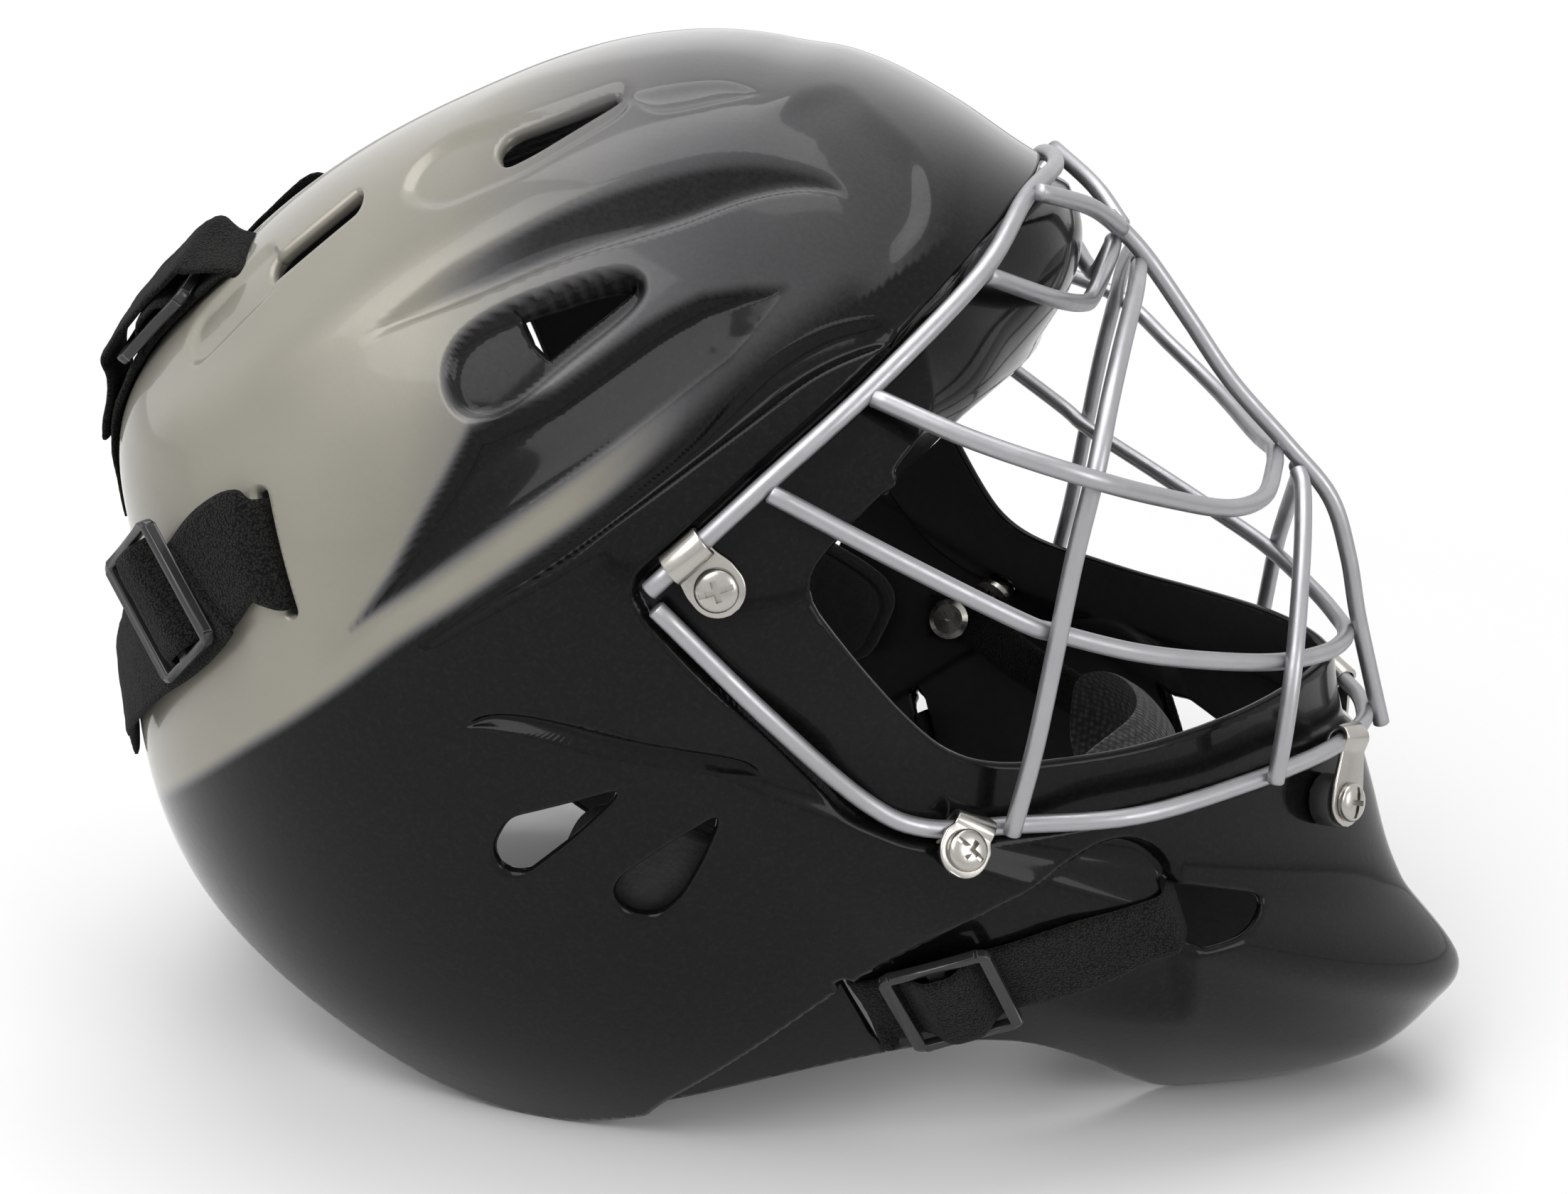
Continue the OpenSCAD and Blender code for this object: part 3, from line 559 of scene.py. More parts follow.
# Carved forms in side view. Each flute lies between a top and a bottom line that meet at both ends.
VENT = rounded([
    [-100, 218.3], [-95.8, 215], [-98, 210], [-113.3, 196.6], [-123, 186.5], [-134, 185], [-139, 193],
    [-137, 201.5], [-127.3, 208.7], [-110, 216]
], 7)
VENT_STEP = [[-128, 212], [-123.9, 204.3], [-121, 200.3], [-117, 197.6], [-106, 193]]
CROWN_VENT = rounded([[-139.5, 234.5], [-137, 238.3], [-114.5, 247.8], [-111.8, 246.6], [-128.4, 235.1],
                      [-135, 231.4]], 3.2)
CROWN_DISH = rounded([
    [-154, 235], [-160, 229], [-158.5, 222.5], [-146, 222], [-128, 230.5], [-108, 244.5], [-112, 250.5],
    [-130, 243.5]
], 5)
CRESCENT = (
    spline([
        [-159, 196], [-148.4, 206.8], [-137.9, 215.7], [-116.8, 228.3], [-95.9, 236.1], [-80, 238.4],
        [-65.1, 236.2], [-58.5, 231.5]
    ], 5),
    spline([
        [-159, 196], [-147.1, 202], [-135.6, 207.6], [-113.9, 218], [-92.9, 225.4], [-80, 230.5],
        [-69, 232.5], [-58.5, 231.5]
    ], 5)
)
CROWN_FLUTE = (
    spline([[-113, 247], [-101.6, 249.8], [-90.4, 250.6], [-80, 248]], 5),
    spline([[-113, 247], [-103.4, 243.5], [-90.8, 245.6], [-80, 248]], 5)
)
WEDGE_LEFT = [
    [-154.5, 137.5], [-145.7, 151.8], [-139.2, 165.3], [-135.1, 173.5], [-130.4, 184.6], [-113, 194],
    [-96, 207.6], [-91, 210.9], [-85, 214], [-76.6, 215.6], [-68, 215.8]
]
WEDGE_RIGHT = [
    [-154.5, 137.5], [-138.4, 150.6], [-118.2, 168], [-104.3, 179.2], [-92.2, 189.7], [-84.3, 196.3],
    [-77.5, 201.7], [-72.2, 208.9], [-68, 215.8]
]
EAR_FLUTE = (
    spline([
        [-142.6, 133.4], [-131.4, 145], [-122.1, 152.9], [-108.7, 163.7], [-95.9, 174.7],
        [-83.7, 186.5], [-76.6, 195.7], [-68.2, 204], [-57.4, 209.6], [-47, 210.5], [-42.5, 205]
    ], 4),
    spline([
        [-142.6, 133.4], [-133.1, 138.9], [-121.9, 147.7], [-108.3, 157.7], [-95.5, 168.6],
        [-84, 178.5], [-72, 188.5], [-60, 198], [-50, 203], [-42.5, 205]
    ], 4)
)
GROOVE = (
    spline([
        [-129.3, 118.6], [-124.1, 122.8], [-115.5, 124.3], [-102.2, 123.2], [-83.7, 120.1],
        [-68, 117.3], [-62, 112.3]
    ], 4),
    spline([[-129.3, 118.6], [-121.2, 119.6], [-106.8, 118.4], [-92.7, 115.9], [-74.4, 113.9],
            [-62, 112.3]], 4)
)
JAW_VENTS = (
    rounded([
        [-123, 90], [-119, 98.6], [-106.5, 103.8], [-93, 109.4], [-93.5, 106], [-101.7, 96],
        [-114.4, 83], [-121, 83.6]
    ], 3.5),
    rounded([
        [-95.6, 80], [-94.3, 86], [-84.8, 94.4], [-72, 104.3], [-71.4, 101], [-74.6, 91], [-79, 81],
        [-84.5, 74.8], [-91.5, 75.2]
    ], 3.5)
)
SLOT_DISH = ([-205, 187.5], [-191, 203], 5.5)
# Each flute's lines, depth, place of its deepest line, wall and full width
FLUTES = [(EAR_FLUTE, 2.8, 0.6, 1.6, 8.0), (CRESCENT, 2.6, 0.8, 1.0, 9.0),
          (CROWN_FLUTE, 1.4, 0.5, 1.5, 6.0), (GROOVE, 2.0, 0.35, 0.8, 4.0)]


def flute(pair, deep, lean, wall, full, x, z):
    """Depth of a hollow between two lines, deepest lean of the way from the top line to the low one."""
    top, low = pair
    dt, db = along(top, x, z)[0], along(low, x, z)[0]
    within = inside(between(top, low), x, z)
    share = dt / np.maximum(dt + db, 1e-9)
    rise = np.minimum(share / lean, (1 - share) / (1 - lean))
    h = deep * np.minimum((dt + db) / full, 1) * np.sin(np.clip(rise, 0, 1) * math.pi / 2)**1.2
    return np.where(within > 0, h * smooth(0, wall, within), 0)


def wedge(x, z):
    """Facet that falls from the silver ridge to a bevel at its rear."""
    within = inside(between(WEDGE_LEFT, WEDGE_RIGHT), x, z)
    left, right = along(WEDGE_LEFT, x, z)[0], along(WEDGE_RIGHT, x, z)[0]
    h = WEDGE_D * np.minimum(smooth(0, 4.2, left), np.clip(right / 13, 0, 1)**0.8)
    return np.where(within > 0, h, 0)


def sunk(x, z, grow):
    """How deep the panels and flutes lie under the skin; grow widens the wide ones for the inside."""
    soft = 1 - smooth(57, 38, z) * smooth(-2, 38, x)
    bowl = 2.6 + 2.4 * np.clip((x + 139) / 22, 0, 1)
    depths = [JAW_D * soft * smooth(-0.3, 2.4, inside(JAW, x, z) + grow),
              LIP_D * smooth(-0.3, 1.6, inside(LIP, x, z) + grow),
              bowl * smooth(-0.2, 2.4, inside(VENT, x, z) + grow),
              1.5 * smooth(-0.2, 2.6, inside(CROWN_DISH, x, z)),
              1.4 * smooth(0, 1.8, capsule(*SLOT_DISH, x, z)), wedge(x, z)]
    depths += [flute(*shape, x, z) for shape in FLUTES]
    if grow:
        depths.append(FLUTE_D * smooth(-0.5, 8, inside(FLUTE, x, z) + grow))
    return np.maximum.reduce(depths)


def crease(points, x, z, wide, high):
    """Raised line whose sides fall away, fading towards its ends."""
    d, s, _ = along(points, x, z)
    ends = smooth(0, 0.15, s) * smooth(1, 0.8, s)
    return high * ends * np.exp(-(d / wide)**2)


def step(points, x, z, wide, high, way=1):
    """Surface that rises up to a line and drops sharply beyond it."""
    d, s, sign = along(points, x, z)
    ends = smooth(0, 0.2, s) * smooth(1, 0.75, s)
    f = np.where(sign * way > 0, np.exp(-(d / wide)**2 * 1.2), np.exp(-(d / 2.6)**2))
    return high * ends * f


SILVER_RIDGE = spline([
    [-226, 153], [-205.9, 168.9], [-184.8, 182.9], [-166.7, 198.9], [-150.3, 212.9], [-128.7, 226.6],
    [-107.3, 235.6], [-83, 243.5], [-69.5, 243.8], [-56.4, 238.9], [-47.4, 233.1], [-43.4, 228.2]
], 4)
EAR_RIDGE = spline([
    [-150, 136.5], [-140.5, 144.5], [-114.7, 168.4], [-92.1, 188.6], [-77.5, 203], [-64.6, 212.5],
    [-53.7, 215.5]
], 4)
LOW_RIDGE = spline([[-140, 132], [-121.9, 145.5], [-108.3, 155.5], [-97, 165]], 4)
CROWN_STEP = spline([[-160.1, 234.7], [-138.5, 245.2], [-116.7, 251.6], [-93.8, 254.2], [-68.9, 249.7]], 5)
BROW_STEP = spline([
    [-84.8, 245.5], [-68.3, 249.5], [-58.9, 245.6], [-51.8, 241.6], [-45.8, 237.5], [-42.6, 232],
    [-42, 226.6], [-45, 220.5], [-50, 212]
], 5)
# Each raised line with its width and height, and each step also with the side that slopes
RIDGES = [(SILVER_RIDGE, 7.5, 1.8), (EAR_RIDGE, 4.0, 0.9), (LOW_RIDGE, 1.6, 0.5)]
STEPS = [(CROWN_STEP, 16, 0.9, -1), (BROW_STEP, 12, 1.5, 1)]


def raised(x, z):
    h = sum(crease(p, x, z, w, v) for p, w, v in RIDGES)
    return h + sum(step(p, x, z, w, v, k) for p, w, v, k in STEPS)


def shell_grid():
    na, nt = ((840, 200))
    a = -180 + 360 * np.arange(na) / na
    t = np.radians(np.linspace(0, 90, 721))
    c = np.cos(t)[None, :]**(2 / fall_r(a))[:, None]
    s = np.sin(t)[None, :]**(2 / fall_y(a))[:, None]
    c[:, -1] = 0
    r, y = reach(a)[:, None] * c, HALF * s
    run = np.concatenate([np.zeros((na, 1)), np.cumsum(np.hypot(np.diff(r), np.diff(y)), axis=1)], axis=1)
    cc, ss = np.empty((na, nt + 1)), np.empty((na, nt + 1))
    for i in range(na):
        u = np.linspace(0, run[i, -1], nt + 1)
        cc[i], ss[i] = np.interp(u, run[i], c[i]), np.interp(u, run[i], s[i])
    c = np.concatenate([cc[:, :0:-1], cc], axis=1)
    s = np.concatenate([-ss[:, :0:-1], ss], axis=1)
    return a, c, s


def lay(a, c, s, off, grow):
    """Surface points over the whole grid, with panels sunk."""
    ca, sa = np.cos(np.radians(a))[:, None], np.sin(np.radians(a))[:, None]
    ra = reach(a)[:, None]
    x, z = EAR[0] + ra * c * ca, EAR[1] + ra * c * sa
    d = sunk(x, z, grow) - raised(x, z) * (1 if off == 0 else 0.8)
    o = off - d
    r = (ra + o) * c
    y = (HALF + o) * s
    zone = smooth(-0.6, 2.2, inside(BROW_ZONE, x, z) + grow)
    lo, hi = np.full(r.shape, 40.0), r.copy()
    gap = 0 if off == 0 else SHELL_T
    for _ in range(16):
        m = (lo + hi) / 2
        front = EAR[0] + m * ca - brow_front(y, EAR[1] + m * sa) + gap
        lo, hi = np.where(front < 0, m, lo), np.where(front < 0, hi, m)
    r = np.where(zone > 0, r + (np.minimum(hi, r) - r) * zone, r)
    return np.stack([EAR[0] + r * ca, y, EAR[1] + r * sa], -1)


def kept(p):
    """Positive where the shell is, from its edges, openings, vents and slots."""
    x, y, z = p[..., 0], p[..., 1], p[..., 2]
    clear = 99
    back = np.maximum(REAR_R - np.hypot(y, z - REAR_Z), np.minimum(REAR_HALF - np.abs(y), REAR_Z - z))
    d, _, ahead = along(VENT_STEP, x, z)
    mouth = np.minimum(inside(VENT, x, z) - 2.4, d * np.where(ahead > 0, 1, -1))
    cuts = [-inside(EDGE, x, z), mouth, np.where(x < -150, back, -clear)]
    cuts += [inside(vent, x, z) for vent in (OPENING, CROWN_VENT, CHIN_SLOT, *JAW_VENTS)]
    cuts += [capsule(*ends, SLOT_R, x, z) for ends in (REAR_VENT, SIDE_SLOT, LOWER_SLOT)]
    q = np.stack([x, np.abs(y), z], -1)
    for hole in HOLES:
        n = side_normal(*hole)
        w = q - side(*hole)
        h = (w * n).sum(-1)
        within = SCREW_HOLE_R - np.linalg.norm(w - h[..., None] * n, axis=-1)
        cuts.append(np.where(np.abs(h) < 15, within, -clear))
    n = over_normal(*TOP_SLOT)
    ax = unit(np.array([0, 1.0, 0]) - n[1] * n)
    w = q - over(*TOP_SLOT)
    u, v, h = (w * ax).sum(-1), (w * np.cross(n, ax)).sum(-1), (w * n).sum(-1)
    within = SLOT_R - np.hypot(np.maximum(np.abs(u) - TOP_SLOT_HALF, 0), v)
    cuts.append(np.where(np.abs(h) < 15, within, -clear))
    return -np.maximum.reduce(cuts)


def clip_grid(outer, inner, extra, g):
    """Cuts the closed grid where g is below zero; returns points, their attributes and faces."""
    na, m = g.shape[0], g.shape[1]
    n = na * m
    P = np.concatenate([outer.reshape(n, 3), inner.reshape(n, 3), extra.reshape(n, -1)], axis=1)
    G = g.reshape(n).copy()
    idx = np.arange(n).reshape(na, m)
    A, B = idx[:, :-1], idx[:, 1:]
    C, D = np.roll(idx, -1, axis=0)[:, 1:], np.roll(idx, -1, axis=0)[:, :-1]
    quads = np.stack([A, B, C, D], -1).reshape(-1, 4)
    tris = np.concatenate([quads[:, [0, 1, 2]], quads[:, [0, 2, 3]]])
    pairs = np.concatenate([tris[:, [0, 1]], tris[:, [1, 2]], tris[:, [2, 0]]])
    edges = np.unique(np.sort(pairs, axis=1), axis=0)
    g0, g1 = G[edges[:, 0]], G[edges[:, 1]]
    cross = (g0 > 0) != (g1 > 0)
    e = edges[cross]
    t = g0[cross] / (g0[cross] - g1[cross])
    P0 = P.copy()
    order = np.argsort(-np.minimum(t, 1 - t))
    for k in order:
        i, j = e[k]
        if t[k] < 0.3:
            P[i] = P0[i] + (P0[j] - P0[i]) * t[k]
            G[i] = 0
        elif t[k] > 0.7:
            P[j] = P0[i] + (P0[j] - P0[i]) * t[k]
            G[j] = 0
    sign = np.sign(G).astype(int)
    qs = sign[quads]
    whole = (qs >= 0).all(1) & (qs > 0).any(1)
    faces = [tuple(q) for q in quads[whole]]
    rest = quads[~whole & (qs > 0).any(1)]
    new, points = {}, [P]
    count = n

    def at(i, j):
        nonlocal count
        key = (i, j) if i < j else (j, i)
        if key not in new:
            u = G[key[0]] / (G[key[0]] - G[key[1]])
            points.append((P[key[0]] + (P[key[1]] - P[key[0]]) * u)[None])
            new[key] = count
            count += 1
        return new[key]

    for q in rest:
        for tri in ((q[0], q[1], q[2]), (q[0], q[2], q[3])):
            if not any(sign[i] > 0 for i in tri):
                continue
            out = []
            for k in range(3):
                i, j = tri[k], tri[(k + 1) % 3]
                if sign[i] >= 0:
                    out.append(int(i))
                if sign[i] * sign[j] < 0:
                    out.append(at(int(i), int(j)))
            if len(out) > 2:
                faces.append(tuple(out))
    return np.concatenate(points), faces


def weld_poles(faces, na, m):
    """All the points of the first and of the last column are one."""
    out = []
    for f in faces:
        q = []
        for i in f:
            if i < na * m:
                j = i % m
                i = 0 if j == 0 else (m - 1 if j == m - 1 else i)
            if not q or (q[-1] != i):
                q.append(int(i))
        if q[0] == q[-1]:
            q.pop()
        if len(q) > 2:
            out.append(tuple(q))
    return out


def thicken(P, faces, bulge=0.28, rim=3):
    """Closes the outer and inner skins with a rounded rim."""
    used = np.unique(np.concatenate([np.array(f) for f in faces]))
    renumbered = -np.ones(len(P), int)
    renumbered[used] = np.arange(len(used))
    faces = [tuple(renumbered[list(f)]) for f in faces]
    P = P[used]
    outer, inner = P[:, :3], P[:, 3:6]
    n = len(P)
    sides = dict.fromkeys((f[k], f[(k + 1) % len(f)]) for f in faces for k in range(len(f)))
    border = [(a, b) for a, b in sides if (b, a) not in sides]
    away = np.zeros((n, 3))
    up = unit(outer - inner)
    for a, b in border:
        d = outer[b] - outer[a]
        for k in (a, b):
            away[k] += np.cross(d, up[k])
    away = unit(away)
    ring = sorted({i for e in border for i in e})
    index, extra = {}, []
    for j, i in enumerate(ring):
        index[i] = [i] + [2 * n + j * rim + k for k in range(rim)] + [n + i]
        t = np.linalg.norm(outer[i] - inner[i])
        for k in range(rim):
            s = (k + 1) / (rim + 1)
            extra.append(outer[i] + (inner[i] - outer[i]) * s + away[i] * bulge * t * math.sin(math.pi * s))
    out = list(faces) + [tuple(n + i for i in reversed(f)) for f in faces]
    kind = [0] * len(faces) + [1] * len(faces)
    for a, b in border:
        u, v = index[a], index[b]
        for k in range(rim + 1):
            out.append((u[k], u[k + 1], v[k + 1], v[k]))
            kind.append(0)
    at = np.concatenate([P[:, 6:], P[:, 6:], P[ring, 6:].repeat(rim, axis=0)])
    return np.concatenate([outer, inner, np.array(extra)]), out, kind, at


# Lower edge of the silver paint, and its strength by place along the mask; its thin end towards the brow is
# partly paint and partly painted reflection
SILVER = spline([
    [-262, 30], [-226.6, 62.1], [-201.5, 84.8], [-182.1, 101.9], [-169.9, 112], [-155.4, 124.8],
    [-142.5, 137], [-128.6, 148.2], [-113.2, 161.3], [-100, 172.5], [-85, 187], [-70, 201], [-55, 212]
], 3)
SILVER_AND_REFLECTION_BY_X = [[-165, 1], [-145, 0.88], [-122, 0.52], [-100, 0.3], [-80, 0.2], [-60, 0.16], [-46, 0.12], [-36, 0]]


def fade_at(p):
    """Share of silver in the paint: all of the rear, less towards the brow, none in the wedge. Its thin end
    towards the brow and the strip along the lower edge are partly painted reflection; the vent's bowl is
    darkened partly as painted shade, and the crescent hollow as painted shade.
    """
    x, z = p[..., 0], p[..., 2]
    d, _, above = along(SILVER, x, z)
    d = d * np.where(above > 0, 1, -1)
    # Silver strength along the mask; its thin tail towards the brow is partly paint and partly a painted
    # reflection
    front = np.interp(x, *np.array(SILVER_AND_REFLECTION_BY_X).T)
    # A strip just above the lower edge keeps silver further towards the brow: partly paint, partly a painted
    # reflection along the ridge
    band = smooth(11, 5, d) * smooth(-72, -112, x)
    f = smooth(-1.5, 2.5 + 6 * smooth(-100, -60, x), d) * np.maximum(front, band)
    f = f * smooth(1.6, -1.2, inside(between(WEDGE_LEFT, WEDGE_RIGHT), x, z))
    # Darker in the vent: its cut walls are the shell's own black, and the darkness of its bowl is painted
    # shade in the recess
    f = f * (1 - 0.95 * smooth(-0.5, 1.5, inside(VENT, x, z)))
    # Darker within the crescent hollow, except near its rear tip: painted shade in the flute
    hollow = inside(between(*CRESCENT), x, z)
    return np.clip(f * (1 - 0.88 * smooth(0, 2.5, hollow) * smooth(-150, -120, x)), 0, 1)


def make_shell():
    a, c, s = shell_grid()
    outer = lay(a, c, s, 0.0, 0.0)
    inner = lay(a, c, s, -SHELL_T, SHELL_T)
    g = kept(outer)
    P, faces = clip_grid(outer, inner, fade_at(outer)[..., None], g)
    faces = weld_poles(faces, *g.shape)
    verts, faces, kind, at = thicken(P, faces)
    ob = mesh_object("shell_dressed", to_part(verts), faces, "mask", [PAINT, INNER],
                     ["shell"], kind)
    layer = ob.data.attributes.new("fade", "FLOAT", "POINT")
    layer.data.foreach_set("value", at[:, 0].astype(np.float32))


# ---------- the cage ----------
def half_path(points):
    """The points, which end in the middle, and their mirror image."""
    return points + [[p[0], -p[1], p[2]] for p in points[-2::-1]]


def frame_side(points):
    return [side(x, z, WIRE_LIFT).tolist() for x, z in points]


UPPER_SIDE = [[-89, 155], [-67, 178.5], [-48, 197.5], [-29, 218]]
UPPER_TOP = [over(53.5, 34.0, WIRE_LIFT).tolist(), over(52.5, 0.0, WIRE_LIFT).tolist()]
LOWER_SIDE = [[-87.2, 151.8], [-63, 129], [-42, 107.5], [-28, 100], [-8, 98.5]]
LOWER_CHIN = [[18, 76, 100], [42, 55, 101.5], [62, 34, 103.5], [72.2, 13, 103], [74.3, 0, 102.5]]
BROW_BAR = [[-27.9, 62.7, 217.4], [-14.7, 42, 209.5], [-7.5, 22, 204.5], [-5, 14, 205],
            [-2.1, 5, 213.5], [-1.9, 0, 215.5]]
UPPER_BAR = [[-47.5, 93.1, 195.9], [-25, 96, 189.5], [0, 93, 183], [17, 73, 174.5], [31, 52, 167.5],
             [40, 28, 164], [42.9, 9, 166.1], [43.2, 0, 167.3]]
LOWER_BAR = [[-66, 107, 177], [-38, 101, 163], [-12, 92, 149.5], [-4, 86, 145.5], [14, 75, 139],
             [32, 60, 133.5], [48, 43.5, 129], [60, 23, 125], [65.6, 8, 123.1], [66.7, 0, 123.2]]
CENTRE_BAR = [[-4, 222], [6, 213], [18, 199], [30.5, 184], [46, 169.5], [58, 157.5], [64.5, 143],
              [69, 128], [74.6, 112], [79.3, 99]]
WIRES = {
    "cage_upper_frame": half_path(frame_side(UPPER_SIDE) + UPPER_TOP),
    "cage_lower_frame": half_path(frame_side(LOWER_SIDE) + LOWER_CHIN),
    "cage_brow_bar": half_path(BROW_BAR),
    "cage_upper_bar": half_path(UPPER_BAR),
    "cage_lower_bar": half_path(LOWER_BAR),
    "cage_centre_bar": [[x, 0, z] for x, z in CENTRE_BAR],
}
UPRIGHTS = {
    "cage_outer_upright": [[5, 1.4, 210.5], [4.5, 30, 209], [3, 55, 203.5], [1.5, 75, 195], [0.3, 87.4, 183],
                           [-2, 89.7, 165], [-3.7, 90.4, 145.5], [-6, 90.5, 120], [-9.1, 90.4, 98.3]],
    "cage_inner_upright": [[49.2, 2, 163.9], [50.5, 7, 161], [51, 20, 153], [51, 35, 141], [50.8, 46.3, 129],
                           [50.5, 51, 115], [50, 52.1, 101.8]],
}
FORK = [[-19.7, 34, 231.5], [-8, 15, 226], [0, 2.6, 219]]


def wire(points, n=7, sides=18):
    """Round wire along a curve, with its cut ends slightly worn."""
    path = spline(points, n)
    d = unit(path[1] - path[0]) * WIRE_R * 0.3
    e = unit(path[-1] - path[-2]) * WIRE_R * 0.3
    path = np.concatenate([[path[0], path[0] + d * 0.6], path[1:-1], [path[-1] - e * 0.6, path[-1]]])
    scale = np.ones(len(path))
    scale[0] = scale[-1] = 0.82
    ang = np.linspace(0, 2 * math.pi, sides, endpoint=False)
    section = WIRE_R * np.stack([np.cos(ang), np.sin(ang)], -1)
    t = unit(path[1] - path[0])
    first = np.array([0, 0, 1.0]) if abs(t[2]) < 0.9 else np.array([1.0, 0, 0])
    return sweep(path, section, first, scale)


def make_cage():
    for name, points in WIRES.items():
        piece(name + "_round", wire(points), "mask", CAGE, name)
    for way, tag in SIDES:
        for name, points in UPRIGHTS.items():
            part = on_side(wire(points), way)
            piece(f"{name}_{tag}_round", part, "mask", CAGE, f"{name}_{tag}")
    fork = wire(FORK, 6)
    piece("cage_fork_round", join([fork, mirror(fork)]), "mask", CAGE, "cage_fork")


# ---------- fabric ----------
def ripple(u, v, size, seed):
    """Smooth unevenness of cloth at a given size in millimetres."""
    r = np.random.default_rng(seed)
    h = np.zeros(np.broadcast(u, v).shape)
    for k in range(7):
        a, f = r.uniform(0, math.pi), r.uniform(0.6, 1.7) * 2 * math.pi / size
        h += np.sin((u * math.cos(a) + v * math.sin(a)) * f + r.uniform(0, 6.3))
    return h / 7


def resample(path, gap, *others):
    run = np.concatenate([[0], np.cumsum(np.linalg.norm(np.diff(path, axis=0), axis=1))])
    n = max(int(run[-1] / gap), 4)
    u = np.linspace(0, run[-1], n + 1)
    read = lambda q: np.stack([np.interp(u, run, q[:, k]) for k in range(q.shape[1])], -1)
    return [read(path)] + [read(np.asarray(q, float).reshape(len(path), -1)) for q in others] + [u]


def smoothed(q, times=2):
    q = np.array(q, float)
    for _ in range(times):
        q[1:-1] = (q[:-2] + 2 * q[1:-1] + q[2:]) / 4
    return q


def webbing(path, normals, width, thick, seed, gap=1.1, uneven=0.3, slot_line=None, turn=14.0):
    """Elastic band: soft edges, slightly uneven faces. Near its start it may lie along a slot."""
    width = np.broadcast_to(np.asarray(width, float), (len(path),))
    p, n, w, run = resample(np.asarray(path, float), gap, normals, width)
    p, n = smoothed(p, 3), unit(smoothed(n, 3))
    t = unit(np.gradient(p, axis=0))
    n = unit(n - (n * t).sum(1, keepdims=True) * t)
    b = np.cross(t, n)
    if slot_line is not None:
        share = smooth(ENTRY, ENTRY + turn, run)[:, None]
        line = slot_line if slot_line @ b[-1] > 0 else -slot_line
        b = unit(b * share + line * (1 - share))
    k = 16
    across = np.linspace(-1, 1, k + 1)
    edge = np.sqrt(np.maximum(1 - np.abs(across)**9, 0))
    edge[[0, -1]] = 0.35
    verts = []
    for i in range(len(p)):
        u, at = across * w[i, 0] / 2, np.full(k + 1, run[i])
        lift = uneven * ripple(at, u, 11, seed)
        rough = 0.12 * ripple(at, u, 2.4, seed + 1)
        top = p[i] + u[:, None] * b[i] + (edge * thick / 2 + lift * edge + rough)[:, None] * n[i]
        low = p[i] + u[:, None] * b[i] + (-edge * thick / 2 + lift * edge * 0.6)[:, None] * n[i]
        verts.append(np.concatenate([top, low[::-1]]))
    m = 2 * (k + 1)
    faces = tube_sides(len(p), m)
    for base, back in ((0, False), ((len(p) - 1) * m, True)):
        for j in range(k):
            f = (base + j, base + m - 1 - j, base + m - 2 - j, base + j + 1)
            faces.append(tuple(reversed(f)) if back else f)
    return np.concatenate(verts), faces


CLEAR, SAG = 0.35, 0.6
STRAP_OFF = CLEAR + STRAP_T / 2
SIDE_OFF = STRAP_OFF + SAG
ENTRY = 7.0
# The top strap's route across angle and y, a point for each degree, and the side strap's
TOP_ROUTE = np.stack([np.linspace(143, 176, 34), np.linspace(45, 34, 34)], -1)
SIDE_ROUTE = spline([[160.5, 106.5], [173.1, 99.1], [184.3, 80.8], [198, 45]], 12)
BAND_T, LAYER_T, LAYER_W = 2.0, 1.3, STRAP_W - 0.4
# Points of the routes where the straps are doubled, and the two that are handed to bridge() as each strap's
# ends
SIDE_DOUBLED, TOP_DOUBLED = slice(9, 31), (3, 26)
SIDE_STRETCH, TOP_STRETCH = [22, 33], [15, 18]


def on_skin(route, off):
    off = np.broadcast_to(off, (len(route),))
    p = np.array([over(a, y, o) for (a, y), o in zip(route, off)])
    n = np.array([over_normal(a, y) for a, y in route])
    return p, n


def strap_with_entry(route, off, slot, normal, ahead):
    """Path of a strap: from inside the shell, round the edge of its slot, then along its route."""
    p, n = on_skin(route, off)
    q, m = [], []
    for depth, out, f in ((ENTRY, 0.0, 1.0), (ENTRY * 0.45, 0.0, 0.97), (1.3, 0.5, 0.75), (-0.5, 1.9, 0.3)):
        q.append(slot - normal * depth + ahead * out)
        m.append(unit(normal * (1 - f) - ahead * f))
    first = int(np.argmax((p - slot) @ ahead > 4.5))
    return np.concatenate([q, p[first:]]), np.concatenate([m, n[first:]])


def first_layer(route, off, slot, normal, line, seed, turn):
    """Band out of its slot and along its route, turning from the slot's own line; also its path."""
    ahead = np.cross(normal, line)
    ahead = ahead if ahead @ (over(*route[6]) - slot) > 0 else -ahead
    p, m = strap_with_entry(route, off, slot, normal, ahead)
    return webbing(p, m, STRAP_W, BAND_T, seed, slot_line=line, turn=turn), p, m


def side_strap():
    """The band, and its doubled end that lies on it, a little lower down."""
    slot, normal = side(*SIDE_SLOT_MID), side_normal(*SIDE_SLOT_MID)
    line = unit(side(*SIDE_SLOT[1]) - side(*SIDE_SLOT[0]))
    band, _, _ = first_layer(SIDE_ROUTE, SIDE_OFF, slot, normal, line, 11, 20.0)
    q, k = on_skin(SIDE_ROUTE[SIDE_DOUBLED], SIDE_OFF + 1.7)
    across = np.cross(unit(np.gradient(q, axis=0)), k)
    q = q - 4.6 * across * np.sign(across[0] @ [0, 0, 1])
    return join([band, webbing(q, k, LAYER_W, LAYER_T, 31)])


